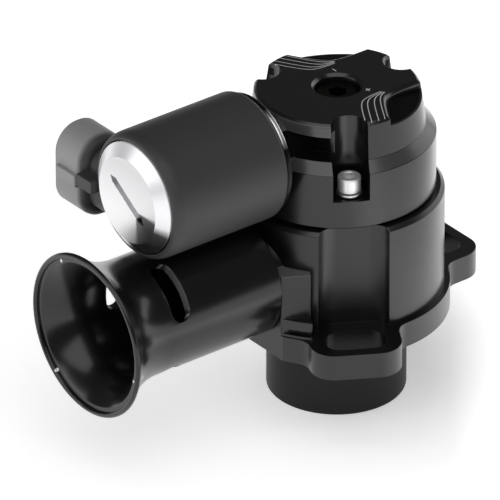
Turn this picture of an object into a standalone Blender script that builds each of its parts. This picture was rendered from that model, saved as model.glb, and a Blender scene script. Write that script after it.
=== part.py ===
"""Blow off valve with a solenoid pilot and a trumpet outlet.

Metres, +Z up along the valve axis. The origin is on that axis, at the foot of the inlet spigot.
The trumpet and the solenoid point along -X and the plug socket faces +Y. A length along -X is
called "out" here: it is measured from the valve axis.
"""
import math

import bmesh
import bpy
from mathutils import Matrix, Vector

# Clearances
SEAT_GAP = 0.0003
SLIDE_GAP = 0.0003

# How finely round shapes are cut
LARGE_SIDES = 40
MEDIUM_SIDES = 28
SMALL_SIDES = 12
RING_SIDES = 20
RING_SECTION_SIDES = 6
WIRE_SIDES = 6
COIL_STEPS = 8
ARC_STEPS = 4

# Pieces with many crossing cuts, on which the exact solver leaves open edges
SOLVERS = {"body": "MANIFOLD", "solenoid_cover": "MANIFOLD"}

# Inlet spigot and flange
SPIGOT_RADIUS = 0.0165
SPIGOT_HEIGHT = 0.0213
INLET_RADIUS = 0.0115
EDGE_BREAK = 0.0004
FLANGE_RADIUS = 0.0266
FLANGE_THICKNESS = 0.0065
FLANGE_BLOCK_RADIUS = 0.0304
EAR_COUNT = 3
EAR_REACH = 0.0363
EAR_HALF_WIDTH = 0.0108
EAR_CORNER_RADIUS = 0.0058
EAR_ROOT_RADIUS = 0.0045
SLOT_CENTRE_RADIUS = 0.0295
SLOT_LENGTH = 0.0140
SLOT_WIDTH = 0.0080
SLOT_CORNER_RADIUS = 0.0033

# Body
BODY_RADIUS = 0.02514
BODY_TOP = 0.0535
CHAMBER_RADIUS = 0.0136
VALVE_SEAT_HEIGHT = 0.0260
POCKET_WIDTH = 0.0173
POCKET_FLOOR_RADIUS = 0.0211
POCKET_CORNER_RADIUS = 0.0034
REGISTER_RADIUS = 0.0173
REGISTER_LENGTH = 0.0022
BODY_CHAMFER = 0.0009
PAD_DISTANCE = 0.0250
PAD_EDGE = 0.0098
PAD_TOP = 0.0434
PAD_LEDGE_RADIUS = 0.0300
PAD_LEDGE_TOP = 0.0323
PAD_GROOVE_BOTTOM = 0.0285
PAD_GROOVE_TOP = 0.0299
PAD_GROOVE_RADIUS = 0.0286

# Side port and trumpet
PORT_HEIGHT = 0.0385
PORT_RADIUS = 0.0080
PORT_BOSS_RADIUS = 0.0126
PORT_FACE_OUT = 0.0270
TRUMPET_SPIGOT_RADIUS = 0.0105
TRUMPET_SPIGOT_LENGTH = 0.0084
TRUMPET_RADIUS = 0.01437
TRUMPET_WALL = 0.0025
TRUMPET_END_OUT = 0.0742
BELL_RADIUS = 0.02006
BELL_LENGTH = 0.0132
BELL_MOUTH_RADIUS = 0.0188
BELL_INNER_LENGTH = 0.0175
BELL_LIP = 0.0010
TRUMPET_SLOT_OUT = 0.0577
TRUMPET_SLOT_WIDTH = 0.0071
TRUMPET_SLOT_ARC = math.radians(62.0)
TRUMPET_SLOT_COUNT = 3
TRUMPET_SLOT_START = math.radians(46.0)

# Head
HEAD_RADIUS = 0.0231
HEAD_RING_HEIGHT = 0.0140
HEAD_SHOULDER_RADIUS = 0.02065
HEAD_SHOULDER_HEIGHT = 0.0025
HEAD_RIM_RADIUS = 0.01945
HEAD_HEIGHT = 0.0255
HEAD_CHAMFER = 0.00075
HEAD_BORE_RADIUS = 0.0116
HEAD_ROOF_THICKNESS = 0.0050
HEAD_BORE_START = 0.0078
ADJUSTER_HOLE_RADIUS = 0.0053
UNDERCUT_RADIUS = 0.0160
UNDERCUT_HEIGHT = 0.0083
SCREW_CIRCLE_RADIUS = 0.0189
SCREW_COUNT = 3
GROOVE_RADIUS = 0.0043
GROOVE_FLOOR_HEIGHT = 0.0072
TOP_POCKET_START = 0.0125
TOP_POCKET_FLARE = 0.0045
TOP_POCKET_WAIST = 0.0030
TOP_POCKET_SPREAD = 0.0080
TOP_POCKET_DEPTH = 0.0009
TOP_POCKET_FALL = 0.0012
KEYWAY_WIDTH = 0.0030
KEYWAY_DEPTH = 0.0012

# Screws and washers
SCREW_RADIUS = 0.00135
SCREW_HEAD_RADIUS = 0.00275
SCREW_HEAD_HEIGHT = 0.0036
SCREW_SOCKET_RADIUS = 0.00145
SCREW_SOCKET_DEPTH = 0.0018
SCREW_LENGTH = 0.0140
WASHER_RADIUS = 0.0031
WASHER_THICKNESS = 0.0006
THREAD_HOLE_RADIUS = 0.00155

# Piston, main spring and preload adjuster
PISTON_LENGTH = 0.0217
PISTON_FLOOR = 0.0030
PISTON_BORE_RADIUS = 0.0106
PISTON_RING_FROM_TOP = 0.0026
SPRING_RADIUS = 0.0082
SPRING_WIRE_RADIUS = 0.00095
SPRING_TURNS = 7.5
ADJUSTER_FLANGE_RADIUS = 0.0080
ADJUSTER_FLANGE_THICKNESS = 0.0024
ADJUSTER_NOSE_HEIGHT = 0.0036
ADJUSTER_SOCKET_RADIUS = 0.0023
ADJUSTER_SOCKET_DEPTH = 0.0030
ADJUSTER_SHANK_RADIUS = 0.0036
ADJUSTER_SHANK_LENGTH = 0.0088
SPRING_SEAT_THICKNESS = 0.0023
SPRING_SEAT_HUB_RADIUS = 0.0060
SPRING_SEAT_HUB_LENGTH = 0.0025

# Sealing rings, by the radius of their section
BODY_RING_SECTION = 0.0007
PISTON_RING_SECTION = 0.0007
TRUMPET_RING_SECTION = 0.0006
ADJUSTER_RING_SECTION = 0.0005
TUBE_RING_SECTION = 0.0005

# Solenoid
SOLENOID_HEIGHT = 0.0700
SOLENOID_BOSS_RADIUS = 0.0080
SOLENOID_BOSS_OUT = 0.0236
TUBE_HOLE_DEPTH = 0.0069
ORIFICE_RADIUS = 0.0012
REAR_PLATE_RADIUS = 0.0150
REAR_PLATE_THICKNESS = 0.0020
COVER_RADIUS = 0.01556
COVER_LENGTH = 0.0331
COVER_REAR_ROUND = 0.0012
COVER_FRONT_ROUND = 0.0033
COVER_FRONT_RIM = 0.00155
END_CAP_RADIUS = 0.0136
END_CAP_THICKNESS = 0.0037
END_CAP_PROUD = 0.0003
END_CAP_FLAT_RADIUS = 0.0088
END_CAP_BEVEL = 0.0006
END_SLOT_LENGTH = 0.0150
END_SLOT_WIDTH = 0.0014
END_SLOT_DEPTH = 0.0016
END_SLOT_ANGLE = math.radians(33.6)
YOKE_RADIUS = 0.0129
YOKE_WALL = 0.0010
CORE_TUBE_RADIUS = 0.0055
CORE_TUBE_WALL = 0.0008
FIXED_CORE_LENGTH = 0.0100
BOBBIN_TUBE_WALL = 0.0010
BOBBIN_FLANGE_THICKNESS = 0.0015
WINDING_RADIUS = 0.0109
PLUNGER_END_GAP = 0.0028
PLUNGER_NOSE_GAP = 0.0012
PLUNGER_SEAL_RADIUS = 0.0022
PLUNGER_SEAL_THICKNESS = 0.0019
PLUNGER_BORE_RADIUS = 0.0027
PLUNGER_BORE_DEPTH = 0.0102
PLUNGER_SPRING_RADIUS = 0.0020
PLUNGER_WIRE_RADIUS = 0.0003
PLUNGER_SPRING_TURNS = 7.0

# Plug socket on the solenoid cover
SOCKET_OUT = 0.0536
SOCKET_HEIGHT = 0.0664
SOCKET_WIDTH = 0.0132
SOCKET_LENGTH = 0.0230
SOCKET_BACK = 0.0204
SOCKET_MOUTH = 0.0291
SOCKET_WALL = 0.0015
SOCKET_FLOOR = 0.0014
NECK_WIDTH = 0.0092
NECK_LENGTH = 0.0176
LATCH_WIDTH = 0.0050
LATCH_PROUD = 0.0009
LATCH_HEIGHT = 0.0040
TERMINAL_SPACING = 0.0080
TERMINAL_WIDTH = 0.0028
TERMINAL_THICKNESS = 0.0008
TERMINAL_LENGTH = 0.0120
TERMINAL_RECESS = 0.0016

# Places worked out from the sizes
FLANGE_TOP = SPIGOT_HEIGHT + FLANGE_THICKNESS
HEAD_BOTTOM = BODY_TOP + SEAT_GAP
HEAD_TOP = HEAD_BOTTOM + HEAD_HEIGHT
HEAD_RING_TOP = HEAD_BOTTOM + HEAD_RING_HEIGHT
REGISTER_BOTTOM = HEAD_BOTTOM - REGISTER_LENGTH
COUNTERBORE_FLOOR = REGISTER_BOTTOM - 2 * SEAT_GAP - 2 * BODY_RING_SECTION
GROOVE_FLOOR = HEAD_BOTTOM + GROOVE_FLOOR_HEIGHT
WASHER_BOTTOM = GROOVE_FLOOR + SEAT_GAP
SCREW_HEAD_BOTTOM = WASHER_BOTTOM + WASHER_THICKNESS + SEAT_GAP
SCREW_HOLE_RADIUS = SCREW_RADIUS + SLIDE_GAP
ROOF_UNDERSIDE = HEAD_TOP - HEAD_ROOF_THICKNESS
PISTON_BOTTOM = VALVE_SEAT_HEIGHT + SEAT_GAP
PISTON_TOP = PISTON_BOTTOM + PISTON_LENGTH
PISTON_RADIUS = CHAMBER_RADIUS - SLIDE_GAP
ADJUSTER_FLANGE_TOP = ROOF_UNDERSIDE - SEAT_GAP
ADJUSTER_FLANGE_BOTTOM = ADJUSTER_FLANGE_TOP - ADJUSTER_FLANGE_THICKNESS
ADJUSTER_NOSE_RADIUS = ADJUSTER_HOLE_RADIUS - SLIDE_GAP
SPRING_SEAT_TOP = ADJUSTER_FLANGE_BOTTOM - SEAT_GAP
SPRING_SEAT_BOTTOM = SPRING_SEAT_TOP - SPRING_SEAT_THICKNESS
TRUMPET_SHOULDER_OUT = PORT_FACE_OUT + SEAT_GAP
PORT_COUNTERBORE_OUT = TRUMPET_SHOULDER_OUT - TRUMPET_SPIGOT_LENGTH - SEAT_GAP
TRUMPET_BORE_RADIUS = TRUMPET_RADIUS - TRUMPET_WALL
REAR_PLATE_OUT = SOLENOID_BOSS_OUT + SEAT_GAP
COVER_OUT = REAR_PLATE_OUT + REAR_PLATE_THICKNESS + SEAT_GAP
COVER_END_OUT = COVER_OUT + COVER_LENGTH
END_CAP_FACE_OUT = COVER_END_OUT + END_CAP_PROUD
END_CAP_BACK_OUT = END_CAP_FACE_OUT - END_CAP_THICKNESS
YOKE_FRONT_OUT = END_CAP_BACK_OUT - SEAT_GAP
TUBE_HOLE_OUT = SOLENOID_BOSS_OUT - TUBE_HOLE_DEPTH
CORE_TUBE_OUT = TUBE_HOLE_OUT + SEAT_GAP
CORE_TUBE_BORE = CORE_TUBE_RADIUS - CORE_TUBE_WALL
CORE_CLEARANCE_RADIUS = CORE_TUBE_RADIUS + SLIDE_GAP
FIXED_CORE_RADIUS = CORE_TUBE_BORE - SLIDE_GAP
FIXED_CORE_OUT = END_CAP_BACK_OUT - FIXED_CORE_LENGTH
PLUNGER_NOSE_OUT = TUBE_HOLE_OUT + PLUNGER_NOSE_GAP
PLUNGER_FRONT_OUT = FIXED_CORE_OUT - PLUNGER_END_GAP
PLUNGER_SEAL_OUT = TUBE_HOLE_OUT + SEAT_GAP
PLUNGER_BORE_OUT = PLUNGER_FRONT_OUT - PLUNGER_BORE_DEPTH
BOBBIN_OUT = COVER_OUT
BOBBIN_END_OUT = YOKE_FRONT_OUT - YOKE_WALL - SEAT_GAP
BOBBIN_TUBE_RADIUS = CORE_CLEARANCE_RADIUS + BOBBIN_TUBE_WALL
TRUMPET_SIDE = math.pi


def clear_scene():
    for old in list(bpy.data.objects):
        bpy.data.objects.remove(old, do_unlink=True)


def finish(name, colour, roughness, metallic):
    material = bpy.data.materials.new(name)
    material.use_nodes = True
    shader = material.node_tree.nodes["Principled BSDF"]
    shader.inputs["Base Color"].default_value = (*colour, 1.0)
    shader.inputs["Roughness"].default_value = roughness
    shader.inputs["Metallic"].default_value = metallic
    return material


def add_object(name, bm, material=None):
    """Turn a bmesh into a smooth shaded object of the scene."""
    bmesh.ops.remove_doubles(bm, verts=bm.verts, dist=1e-7)
    bmesh.ops.recalc_face_normals(bm, faces=bm.faces)
    mesh = bpy.data.meshes.new(name)
    bm.to_mesh(mesh)
    bm.free()
    if material:
        mesh.materials.append(material)
    mesh.shade_smooth()
    mesh.set_sharp_from_angle(angle=math.radians(35.0))
    obj = bpy.data.objects.new(name, mesh)
    bpy.context.collection.objects.link(obj)
    return obj


def add_tool(name, bm):
    """A cutter or a piece to join on: it stays out of the model."""
    obj = add_object(name, bm)
    obj.hide_render = True
    obj.display_type = "WIRE"
    return obj


def combine(target, tool, operation):
    modifier = target.modifiers.new(tool.name, "BOOLEAN")
    modifier.operation = operation
    modifier.solver = SOLVERS.get(target.name, "EXACT")
    modifier.object = tool


def cut(target, name, bm):
    combine(target, add_tool(name, bm), "DIFFERENCE")


def join(target, name, bm):
    combine(target, add_tool(name, bm), "UNION")


def turned(profile, sides, angle=2 * math.pi, start=0.0):
    """Revolve (radius, height) points round Z. A full turn closes on itself."""
    bm = bmesh.new()
    corners = [
        bm.verts.new((radius * math.cos(start), radius * math.sin(start), height))
        for radius, height in profile
    ]
    full = angle > 2 * math.pi - 1e-6
    on_axis = profile[0][0] < 1e-9 and profile[-1][0] < 1e-9
    if full:
        edges = [bm.edges.new(pair) for pair in zip(corners, corners[1:])]
        if not on_axis:
            edges.append(bm.edges.new((corners[-1], corners[0])))
        geometry = corners + edges
    else:
        geometry = [bm.faces.new(corners)]
    bmesh.ops.spin(
        bm, geom=geometry, cent=(0, 0, 0), axis=(0, 0, 1), angle=angle, steps=sides,
        use_merge=full, use_duplicate=False,
    )
    bmesh.ops.remove_doubles(bm, verts=bm.verts, dist=1e-7)
    return bm


def point_out(bm, height):
    """Lay a piece that was turned round Z along -X, at the given height."""
    bmesh.ops.rotate(
        bm, verts=bm.verts, cent=(0, 0, 0), matrix=Matrix.Rotation(-math.pi / 2, 3, "Y")
    )
    bmesh.ops.translate(bm, verts=bm.verts, vec=(0, 0, height))
    return bm


def prism(outline, bottom, top):
    """Extrude an outline of (x, y) points between two heights."""
    bm = bmesh.new()
    face = bm.faces.new([bm.verts.new((x, y, bottom)) for x, y in outline])
    grown = bmesh.ops.extrude_face_region(bm, geom=[face])["geom"]
    lifted = [item for item in grown if isinstance(item, bmesh.types.BMVert)]
    bmesh.ops.translate(bm, verts=lifted, vec=(0, 0, top - bottom))
    return bm


def block(low, high):
    bm = bmesh.new()
    bmesh.ops.create_cube(bm, size=1.0)
    low, high = Vector(low), Vector(high)
    bmesh.ops.scale(bm, verts=bm.verts, vec=high - low)
    bmesh.ops.translate(bm, verts=bm.verts, vec=(low + high) / 2)
    return bm


def add_copies(bm, shape, matrices):
    """Put a moved copy of a bmesh into another for each matrix."""
    source = bpy.data.meshes.new("copy")
    shape.to_mesh(source)
    shape.free()
    for matrix in matrices:
        moved = source.copy()
        moved.transform(matrix)
        bm.from_mesh(moved)
        bpy.data.meshes.remove(moved)
    bpy.data.meshes.remove(source)
    return bm


def around(count, start=0.0):
    """Turns about the valve axis, evenly spaced."""
    return [Matrix.Rotation(start + 2 * math.pi * i / count, 4, "Z") for i in range(count)]


def arc(centre, radius, first, last, steps=ARC_STEPS):
    points = []
    for step in range(steps + 1):
        angle = first + (last - first) * step / steps
        points.append((centre[0] + radius * math.cos(angle), centre[1] + radius * math.sin(angle)))
    return points


def rounded_rectangle(centre, width, height, radius):
    """Outline of a rectangle with round corners, width along the first axis."""
    x = width / 2 - radius
    y = height / 2 - radius
    points = []
    for index, (side_x, side_y) in enumerate(((x, y), (-x, y), (-x, -y), (x, -y))):
        corner = (centre[0] + side_x, centre[1] + side_y)
        points += arc(corner, radius, index * math.pi / 2, (index + 1) * math.pi / 2)
    return points


def ring(radius, section, height):
    """A sealing ring of round section, centred at the given height."""
    profile = [
        (radius + section * math.cos(angle), height + section * math.sin(angle))
        for angle in (2 * math.pi * i / RING_SECTION_SIDES for i in range(RING_SECTION_SIDES))
    ]
    return turned(profile, RING_SIDES)


def coil_spring(radius, wire, bottom, top, turns):
    """A compression spring between two heights, its end turns lying closed."""
    bm = bmesh.new()
    steps = int(round(turns * COIL_STEPS))
    closed = COIL_STEPS
    travel = top - bottom - 2 * wire
    closed_rise = 2 * wire * 1.06
    open_rise = travel - 2 * closed_rise
    rows = []
    for step in range(steps + 1):
        angle = 2 * math.pi * step / COIL_STEPS
        if step <= closed:
            rise = closed_rise * step / closed
        elif step >= steps - closed:
            rise = travel - closed_rise * (steps - step) / closed
        else:
            rise = closed_rise + open_rise * (step - closed) / (steps - 2 * closed)
        outward = Vector((math.cos(angle), math.sin(angle), 0))
        centre = outward * radius + Vector((0, 0, bottom + wire + rise))
        row = []
        for side in range(WIRE_SIDES):
            turn = 2 * math.pi * side / WIRE_SIDES
            offset = outward * math.cos(turn) + Vector((0, 0, 1)) * math.sin(turn)
            row.append(bm.verts.new(centre + offset * wire))
        rows.append(row)
    for row, following in zip(rows, rows[1:]):
        for side in range(WIRE_SIDES):
            after = (side + 1) % WIRE_SIDES
            bm.faces.new((row[side], row[after], following[after], following[side]))
    bm.faces.new(rows[0])
    bm.faces.new(rows[-1])
    return bm


def ear_root(flange_radius):
    """Centre of an ear's root fillet on a flange of that radius, and its bearing."""
    root = flange_radius + EAR_ROOT_RADIUS
    root_v = EAR_HALF_WIDTH + EAR_ROOT_RADIUS
    root_u = math.sqrt(root * root - root_v * root_v)
    return root_u, root_v, math.atan2(root_v, root_u)


def flange_outline():
    """Round flange with three ears. It is wider between the two ears beside the trumpet."""
    corner_u = EAR_REACH - EAR_CORNER_RADIUS
    corner_v = EAR_HALF_WIDTH - EAR_CORNER_RADIUS
    pitch = 2 * math.pi / EAR_COUNT
    outline = []
    for index in range(EAR_COUNT):
        before = FLANGE_BLOCK_RADIUS if index * 2 == EAR_COUNT + 1 else FLANGE_RADIUS
        after = FLANGE_BLOCK_RADIUS if index * 2 == EAR_COUNT - 1 else FLANGE_RADIUS
        root_u, root_v, bearing = ear_root(before)
        ear = arc((root_u, -root_v), EAR_ROOT_RADIUS, math.pi - bearing, math.pi / 2)
        ear += arc((corner_u, -corner_v), EAR_CORNER_RADIUS, -math.pi / 2, 0)
        ear += arc((corner_u, corner_v), EAR_CORNER_RADIUS, 0, math.pi / 2)
        root_u, root_v, bearing = ear_root(after)
        ear += arc((root_u, root_v), EAR_ROOT_RADIUS, -math.pi / 2, bearing - math.pi)
        ear += arc((0, 0), after, bearing, pitch - bearing, 3 * ARC_STEPS)[1:-1]
        turn = Matrix.Rotation(index * pitch, 2)
        outline += [tuple(turn @ Vector(point)) for point in ear]
    return outline


def make_body(material):
    """Spigot, flange and chamber, machined from one bar."""
    inside_flange = FLANGE_TOP - FLANGE_THICKNESS / 2
    body = add_object("body", turned([
        (0, 0),
        (SPIGOT_RADIUS - EDGE_BREAK, 0),
        (SPIGOT_RADIUS, EDGE_BREAK),
        (SPIGOT_RADIUS, inside_flange),
        (BODY_RADIUS, inside_flange),
        (BODY_RADIUS, BODY_TOP - BODY_CHAMFER),
        (BODY_RADIUS - BODY_CHAMFER, BODY_TOP),
        (0, BODY_TOP),
    ], LARGE_SIDES), material)
    join(body, "flange_plate", prism(flange_outline(), SPIGOT_HEIGHT, FLANGE_TOP))
    join_port_block(body)
    boss = turned([
        (0, UNDERCUT_RADIUS),
        (PORT_BOSS_RADIUS, UNDERCUT_RADIUS),
        (PORT_BOSS_RADIUS, PORT_FACE_OUT),
        (0, PORT_FACE_OUT),
    ], MEDIUM_SIDES)
    join(body, "port_boss", point_out(boss, PORT_HEIGHT))
    above = BODY_TOP + FLANGE_THICKNESS
    counterbore = REGISTER_RADIUS + SLIDE_GAP
    cut(body, "chamber_and_inlet", turned([
        (0, above),
        (counterbore, above),
        (counterbore, COUNTERBORE_FLOOR),
        (CHAMBER_RADIUS, COUNTERBORE_FLOOR),
        (CHAMBER_RADIUS, VALVE_SEAT_HEIGHT),
        (INLET_RADIUS, VALVE_SEAT_HEIGHT),
        (INLET_RADIUS, 2 * EDGE_BREAK),
        (INLET_RADIUS + 2 * EDGE_BREAK, 0),
        (INLET_RADIUS + 2 * EDGE_BREAK, -FLANGE_THICKNESS),
        (0, -FLANGE_THICKNESS),
    ], LARGE_SIDES))
    cut_ears_and_pockets(body)
    port = turned([
        (0, PORT_RADIUS / 2),
        (PORT_RADIUS, PORT_RADIUS / 2),
        (PORT_RADIUS, PORT_COUNTERBORE_OUT),
        (TRUMPET_SPIGOT_RADIUS + SLIDE_GAP, PORT_COUNTERBORE_OUT),
        (TRUMPET_SPIGOT_RADIUS + SLIDE_GAP, 2 * PORT_FACE_OUT),
        (0, 2 * PORT_FACE_OUT),
    ], MEDIUM_SIDES)
    cut(body, "port", point_out(port, PORT_HEIGHT))
    return body


def beside_ear(u, v, side):
    """Place that is u out from the axis towards an ear beside the trumpet and v off that line."""
    angle = side * 2 * math.pi / EAR_COUNT
    outward = Vector((math.cos(angle), math.sin(angle)))
    across = Vector((math.cos(angle + side * math.pi / 2), math.sin(angle + side * math.pi / 2)))
    return tuple(outward * u + across * v)


def join_port_block(body):
    """Block behind the trumpet: a flat pad on each side, over a grooved ledge on the flange."""
    edge_angle = 2 * math.pi / EAR_COUNT + math.asin(PAD_EDGE / PAD_LEDGE_RADIUS)
    ledge = arc((0, 0), PAD_LEDGE_RADIUS, edge_angle, 2 * math.pi - edge_angle, 5 * ARC_STEPS)
    ledge += [beside_ear(REGISTER_RADIUS, PAD_EDGE, side) for side in (-1, 1)]
    join(body, "pad_ledge", prism(ledge, SPIGOT_HEIGHT + FLANGE_THICKNESS / 2, PAD_LEDGE_TOP))
    cut(body, "ledge_groove", turned([
        (PAD_GROOVE_RADIUS, PAD_GROOVE_BOTTOM),
        (2 * PAD_GROOVE_RADIUS, PAD_GROOVE_BOTTOM),
        (2 * PAD_GROOVE_RADIUS, PAD_GROOVE_TOP),
        (PAD_GROOVE_RADIUS, PAD_GROOVE_TOP),
    ], LARGE_SIDES))
    slope = math.tan(math.pi / 2 - math.pi / EAR_COUNT)
    front = (PAD_DISTANCE / math.cos(math.pi / EAR_COUNT) - PORT_FACE_OUT) * slope
    block_outline = [(-PORT_FACE_OUT, front), (-PORT_FACE_OUT, -front)]
    block_outline += [beside_ear(PAD_DISTANCE, PAD_EDGE, -1)]
    block_outline += [beside_ear(REGISTER_RADIUS, PAD_EDGE, side) for side in (-1, 1)]
    block_outline += [beside_ear(PAD_DISTANCE, PAD_EDGE, 1)]
    join(body, "port_block", prism(block_outline, SPIGOT_HEIGHT + FLANGE_THICKNESS / 2, PAD_TOP))
    far = 2 * EAR_REACH
    cut(body, "port_face", block(
        (-far, -far / 2, SPIGOT_HEIGHT - FLANGE_THICKNESS),
        (-PORT_FACE_OUT, far / 2, BODY_TOP),
    ))


def cut_ears_and_pockets(body):
    slot = prism(
        rounded_rectangle((SLOT_CENTRE_RADIUS, 0), SLOT_WIDTH, SLOT_LENGTH, SLOT_CORNER_RADIUS),
        SPIGOT_HEIGHT - FLANGE_THICKNESS, FLANGE_TOP + FLANGE_THICKNESS / 4,
    )
    cut(body, "ear_slots", add_copies(bmesh.new(), slot, around(EAR_COUNT)))
    reach = 2 * (EAR_REACH - POCKET_FLOOR_RADIUS)
    pocket = prism(
        rounded_rectangle(
            (POCKET_FLOOR_RADIUS + reach / 2, 0), reach, POCKET_WIDTH, POCKET_CORNER_RADIUS
        ),
        FLANGE_TOP, BODY_TOP + FLANGE_THICKNESS,
    )
    cut(body, "wall_pockets", add_copies(bmesh.new(), pocket, around(EAR_COUNT)))
    hole = turned([
        (0, SCREW_HEAD_BOTTOM - SCREW_LENGTH - 2 * SEAT_GAP),
        (THREAD_HOLE_RADIUS, SCREW_HEAD_BOTTOM - SCREW_LENGTH - SEAT_GAP),
        (THREAD_HOLE_RADIUS, BODY_TOP + FLANGE_THICKNESS),
        (0, BODY_TOP + FLANGE_THICKNESS),
    ], SMALL_SIDES)
    bmesh.ops.translate(hole, verts=hole.verts, vec=(SCREW_CIRCLE_RADIUS, 0, 0))
    cut(body, "screw_holes", add_copies(bmesh.new(), hole, around(SCREW_COUNT)))


def trumpet_profile():
    """Half section as (radius, out): spigot, tube and bell with a rolled lip."""
    groove_floor = TRUMPET_SPIGOT_RADIUS - 2 * TRUMPET_RING_SECTION
    groove_half = TRUMPET_RING_SECTION + SEAT_GAP
    groove_out = TRUMPET_SHOULDER_OUT - TRUMPET_SPIGOT_LENGTH / 2
    outer_start = TRUMPET_END_OUT - BELL_LIP - BELL_LENGTH
    outer_rise = BELL_RADIUS - TRUMPET_RADIUS
    outer_bend = (BELL_LENGTH ** 2 + outer_rise ** 2) / (2 * outer_rise)
    inner_rise = BELL_MOUTH_RADIUS - TRUMPET_BORE_RADIUS
    inner_bend = (BELL_INNER_LENGTH ** 2 + inner_rise ** 2) / (2 * inner_rise)
    inner_start = TRUMPET_END_OUT - BELL_INNER_LENGTH
    steps = 2 * ARC_STEPS
    profile = [
        (PORT_RADIUS, PORT_COUNTERBORE_OUT + SEAT_GAP),
        (TRUMPET_SPIGOT_RADIUS, PORT_COUNTERBORE_OUT + SEAT_GAP),
        (TRUMPET_SPIGOT_RADIUS, groove_out - groove_half),
        (groove_floor, groove_out - groove_half),
        (groove_floor, groove_out + groove_half),
        (TRUMPET_SPIGOT_RADIUS, groove_out + groove_half),
        (TRUMPET_SPIGOT_RADIUS, TRUMPET_SHOULDER_OUT),
        (TRUMPET_RADIUS - EDGE_BREAK, TRUMPET_SHOULDER_OUT),
        (TRUMPET_RADIUS, TRUMPET_SHOULDER_OUT + EDGE_BREAK),
    ]
    for step in range(steps + 1):
        along = BELL_LENGTH * step / steps
        rise = outer_bend - math.sqrt(outer_bend ** 2 - along ** 2)
        profile.append((TRUMPET_RADIUS + rise, outer_start + along))
    profile.append((BELL_RADIUS, TRUMPET_END_OUT - BELL_LIP / 3))
    profile.append((BELL_RADIUS - BELL_LIP / 3, TRUMPET_END_OUT))
    for step in range(steps, -1, -1):
        along = BELL_INNER_LENGTH * step / steps
        rise = inner_bend - math.sqrt(inner_bend ** 2 - along ** 2)
        profile.append((TRUMPET_BORE_RADIUS + rise, inner_start + along))
    taper = TRUMPET_BORE_RADIUS - PORT_RADIUS
    profile.append((TRUMPET_BORE_RADIUS, TRUMPET_SHOULDER_OUT + 2 * taper))
    profile.append((PORT_RADIUS, TRUMPET_SHOULDER_OUT + taper))
    return profile


def make_trumpet(material):
    trumpet = add_object(
        "trumpet", point_out(turned(trumpet_profile(), LARGE_SIDES), PORT_HEIGHT), material
    )
    length = 2 * TRUMPET_RADIUS * math.sin(TRUMPET_SLOT_ARC / 2)
    slot = prism(
        rounded_rectangle((TRUMPET_SLOT_OUT, 0), TRUMPET_SLOT_WIDTH, length,
                          TRUMPET_SLOT_WIDTH / 2 - SEAT_GAP / 10),
        TRUMPET_BORE_RADIUS / 2, 2 * TRUMPET_RADIUS,
    )
    turns = []
    for index in range(TRUMPET_SLOT_COUNT):
        rise = TRUMPET_SLOT_START + 2 * math.pi * index / TRUMPET_SLOT_COUNT
        out = Matrix.Rotation(math.pi, 4, "Z")
        tilt = Matrix.Rotation(math.pi / 2 - rise, 4, "X")
        turns.append(Matrix.Translation((0, 0, PORT_HEIGHT)) @ tilt @ out)
    cut(trumpet, "trumpet_slots", add_copies(bmesh.new(), slot, turns))
    return trumpet


def top_pocket_outline():
    """The pocket's inner edge swings out to the rim on both sides of its waist."""
    half = TOP_POCKET_WAIST + TOP_POCKET_SPREAD
    steps = 3 * ARC_STEPS
    points = []
    for step in range(-steps, steps + 1):
        v = half * step / steps
        share = min(max((abs(v) - TOP_POCKET_WAIST) / TOP_POCKET_SPREAD, 0.0), 1.0)
        swing = share * share * (3 - 2 * share)
        points.append((TOP_POCKET_START + TOP_POCKET_FLARE * swing, v))
    far = 2 * HEAD_RADIUS
    return points + [(far, half), (far, -half)]


def cut_top_pockets(head):
    """Shallow pockets in the top, either side of the screw that is opposite the solenoid."""
    pocket = prism(top_pocket_outline(), HEAD_TOP - TOP_POCKET_DEPTH, HEAD_TOP + HEAD_CHAMFER)
    span = HEAD_RIM_RADIUS - TOP_POCKET_START
    for vert in pocket.verts:
        if vert.co.z < HEAD_TOP:
            vert.co.z -= TOP_POCKET_FALL * (vert.co.x - TOP_POCKET_START) / span
    third = 2 * math.pi / SCREW_COUNT
    turns = [Matrix.Rotation(side * third / 2, 4, "Z") for side in (-1, 1)]
    cut(head, "top_pockets", add_copies(bmesh.new(), pocket, turns))


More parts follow.
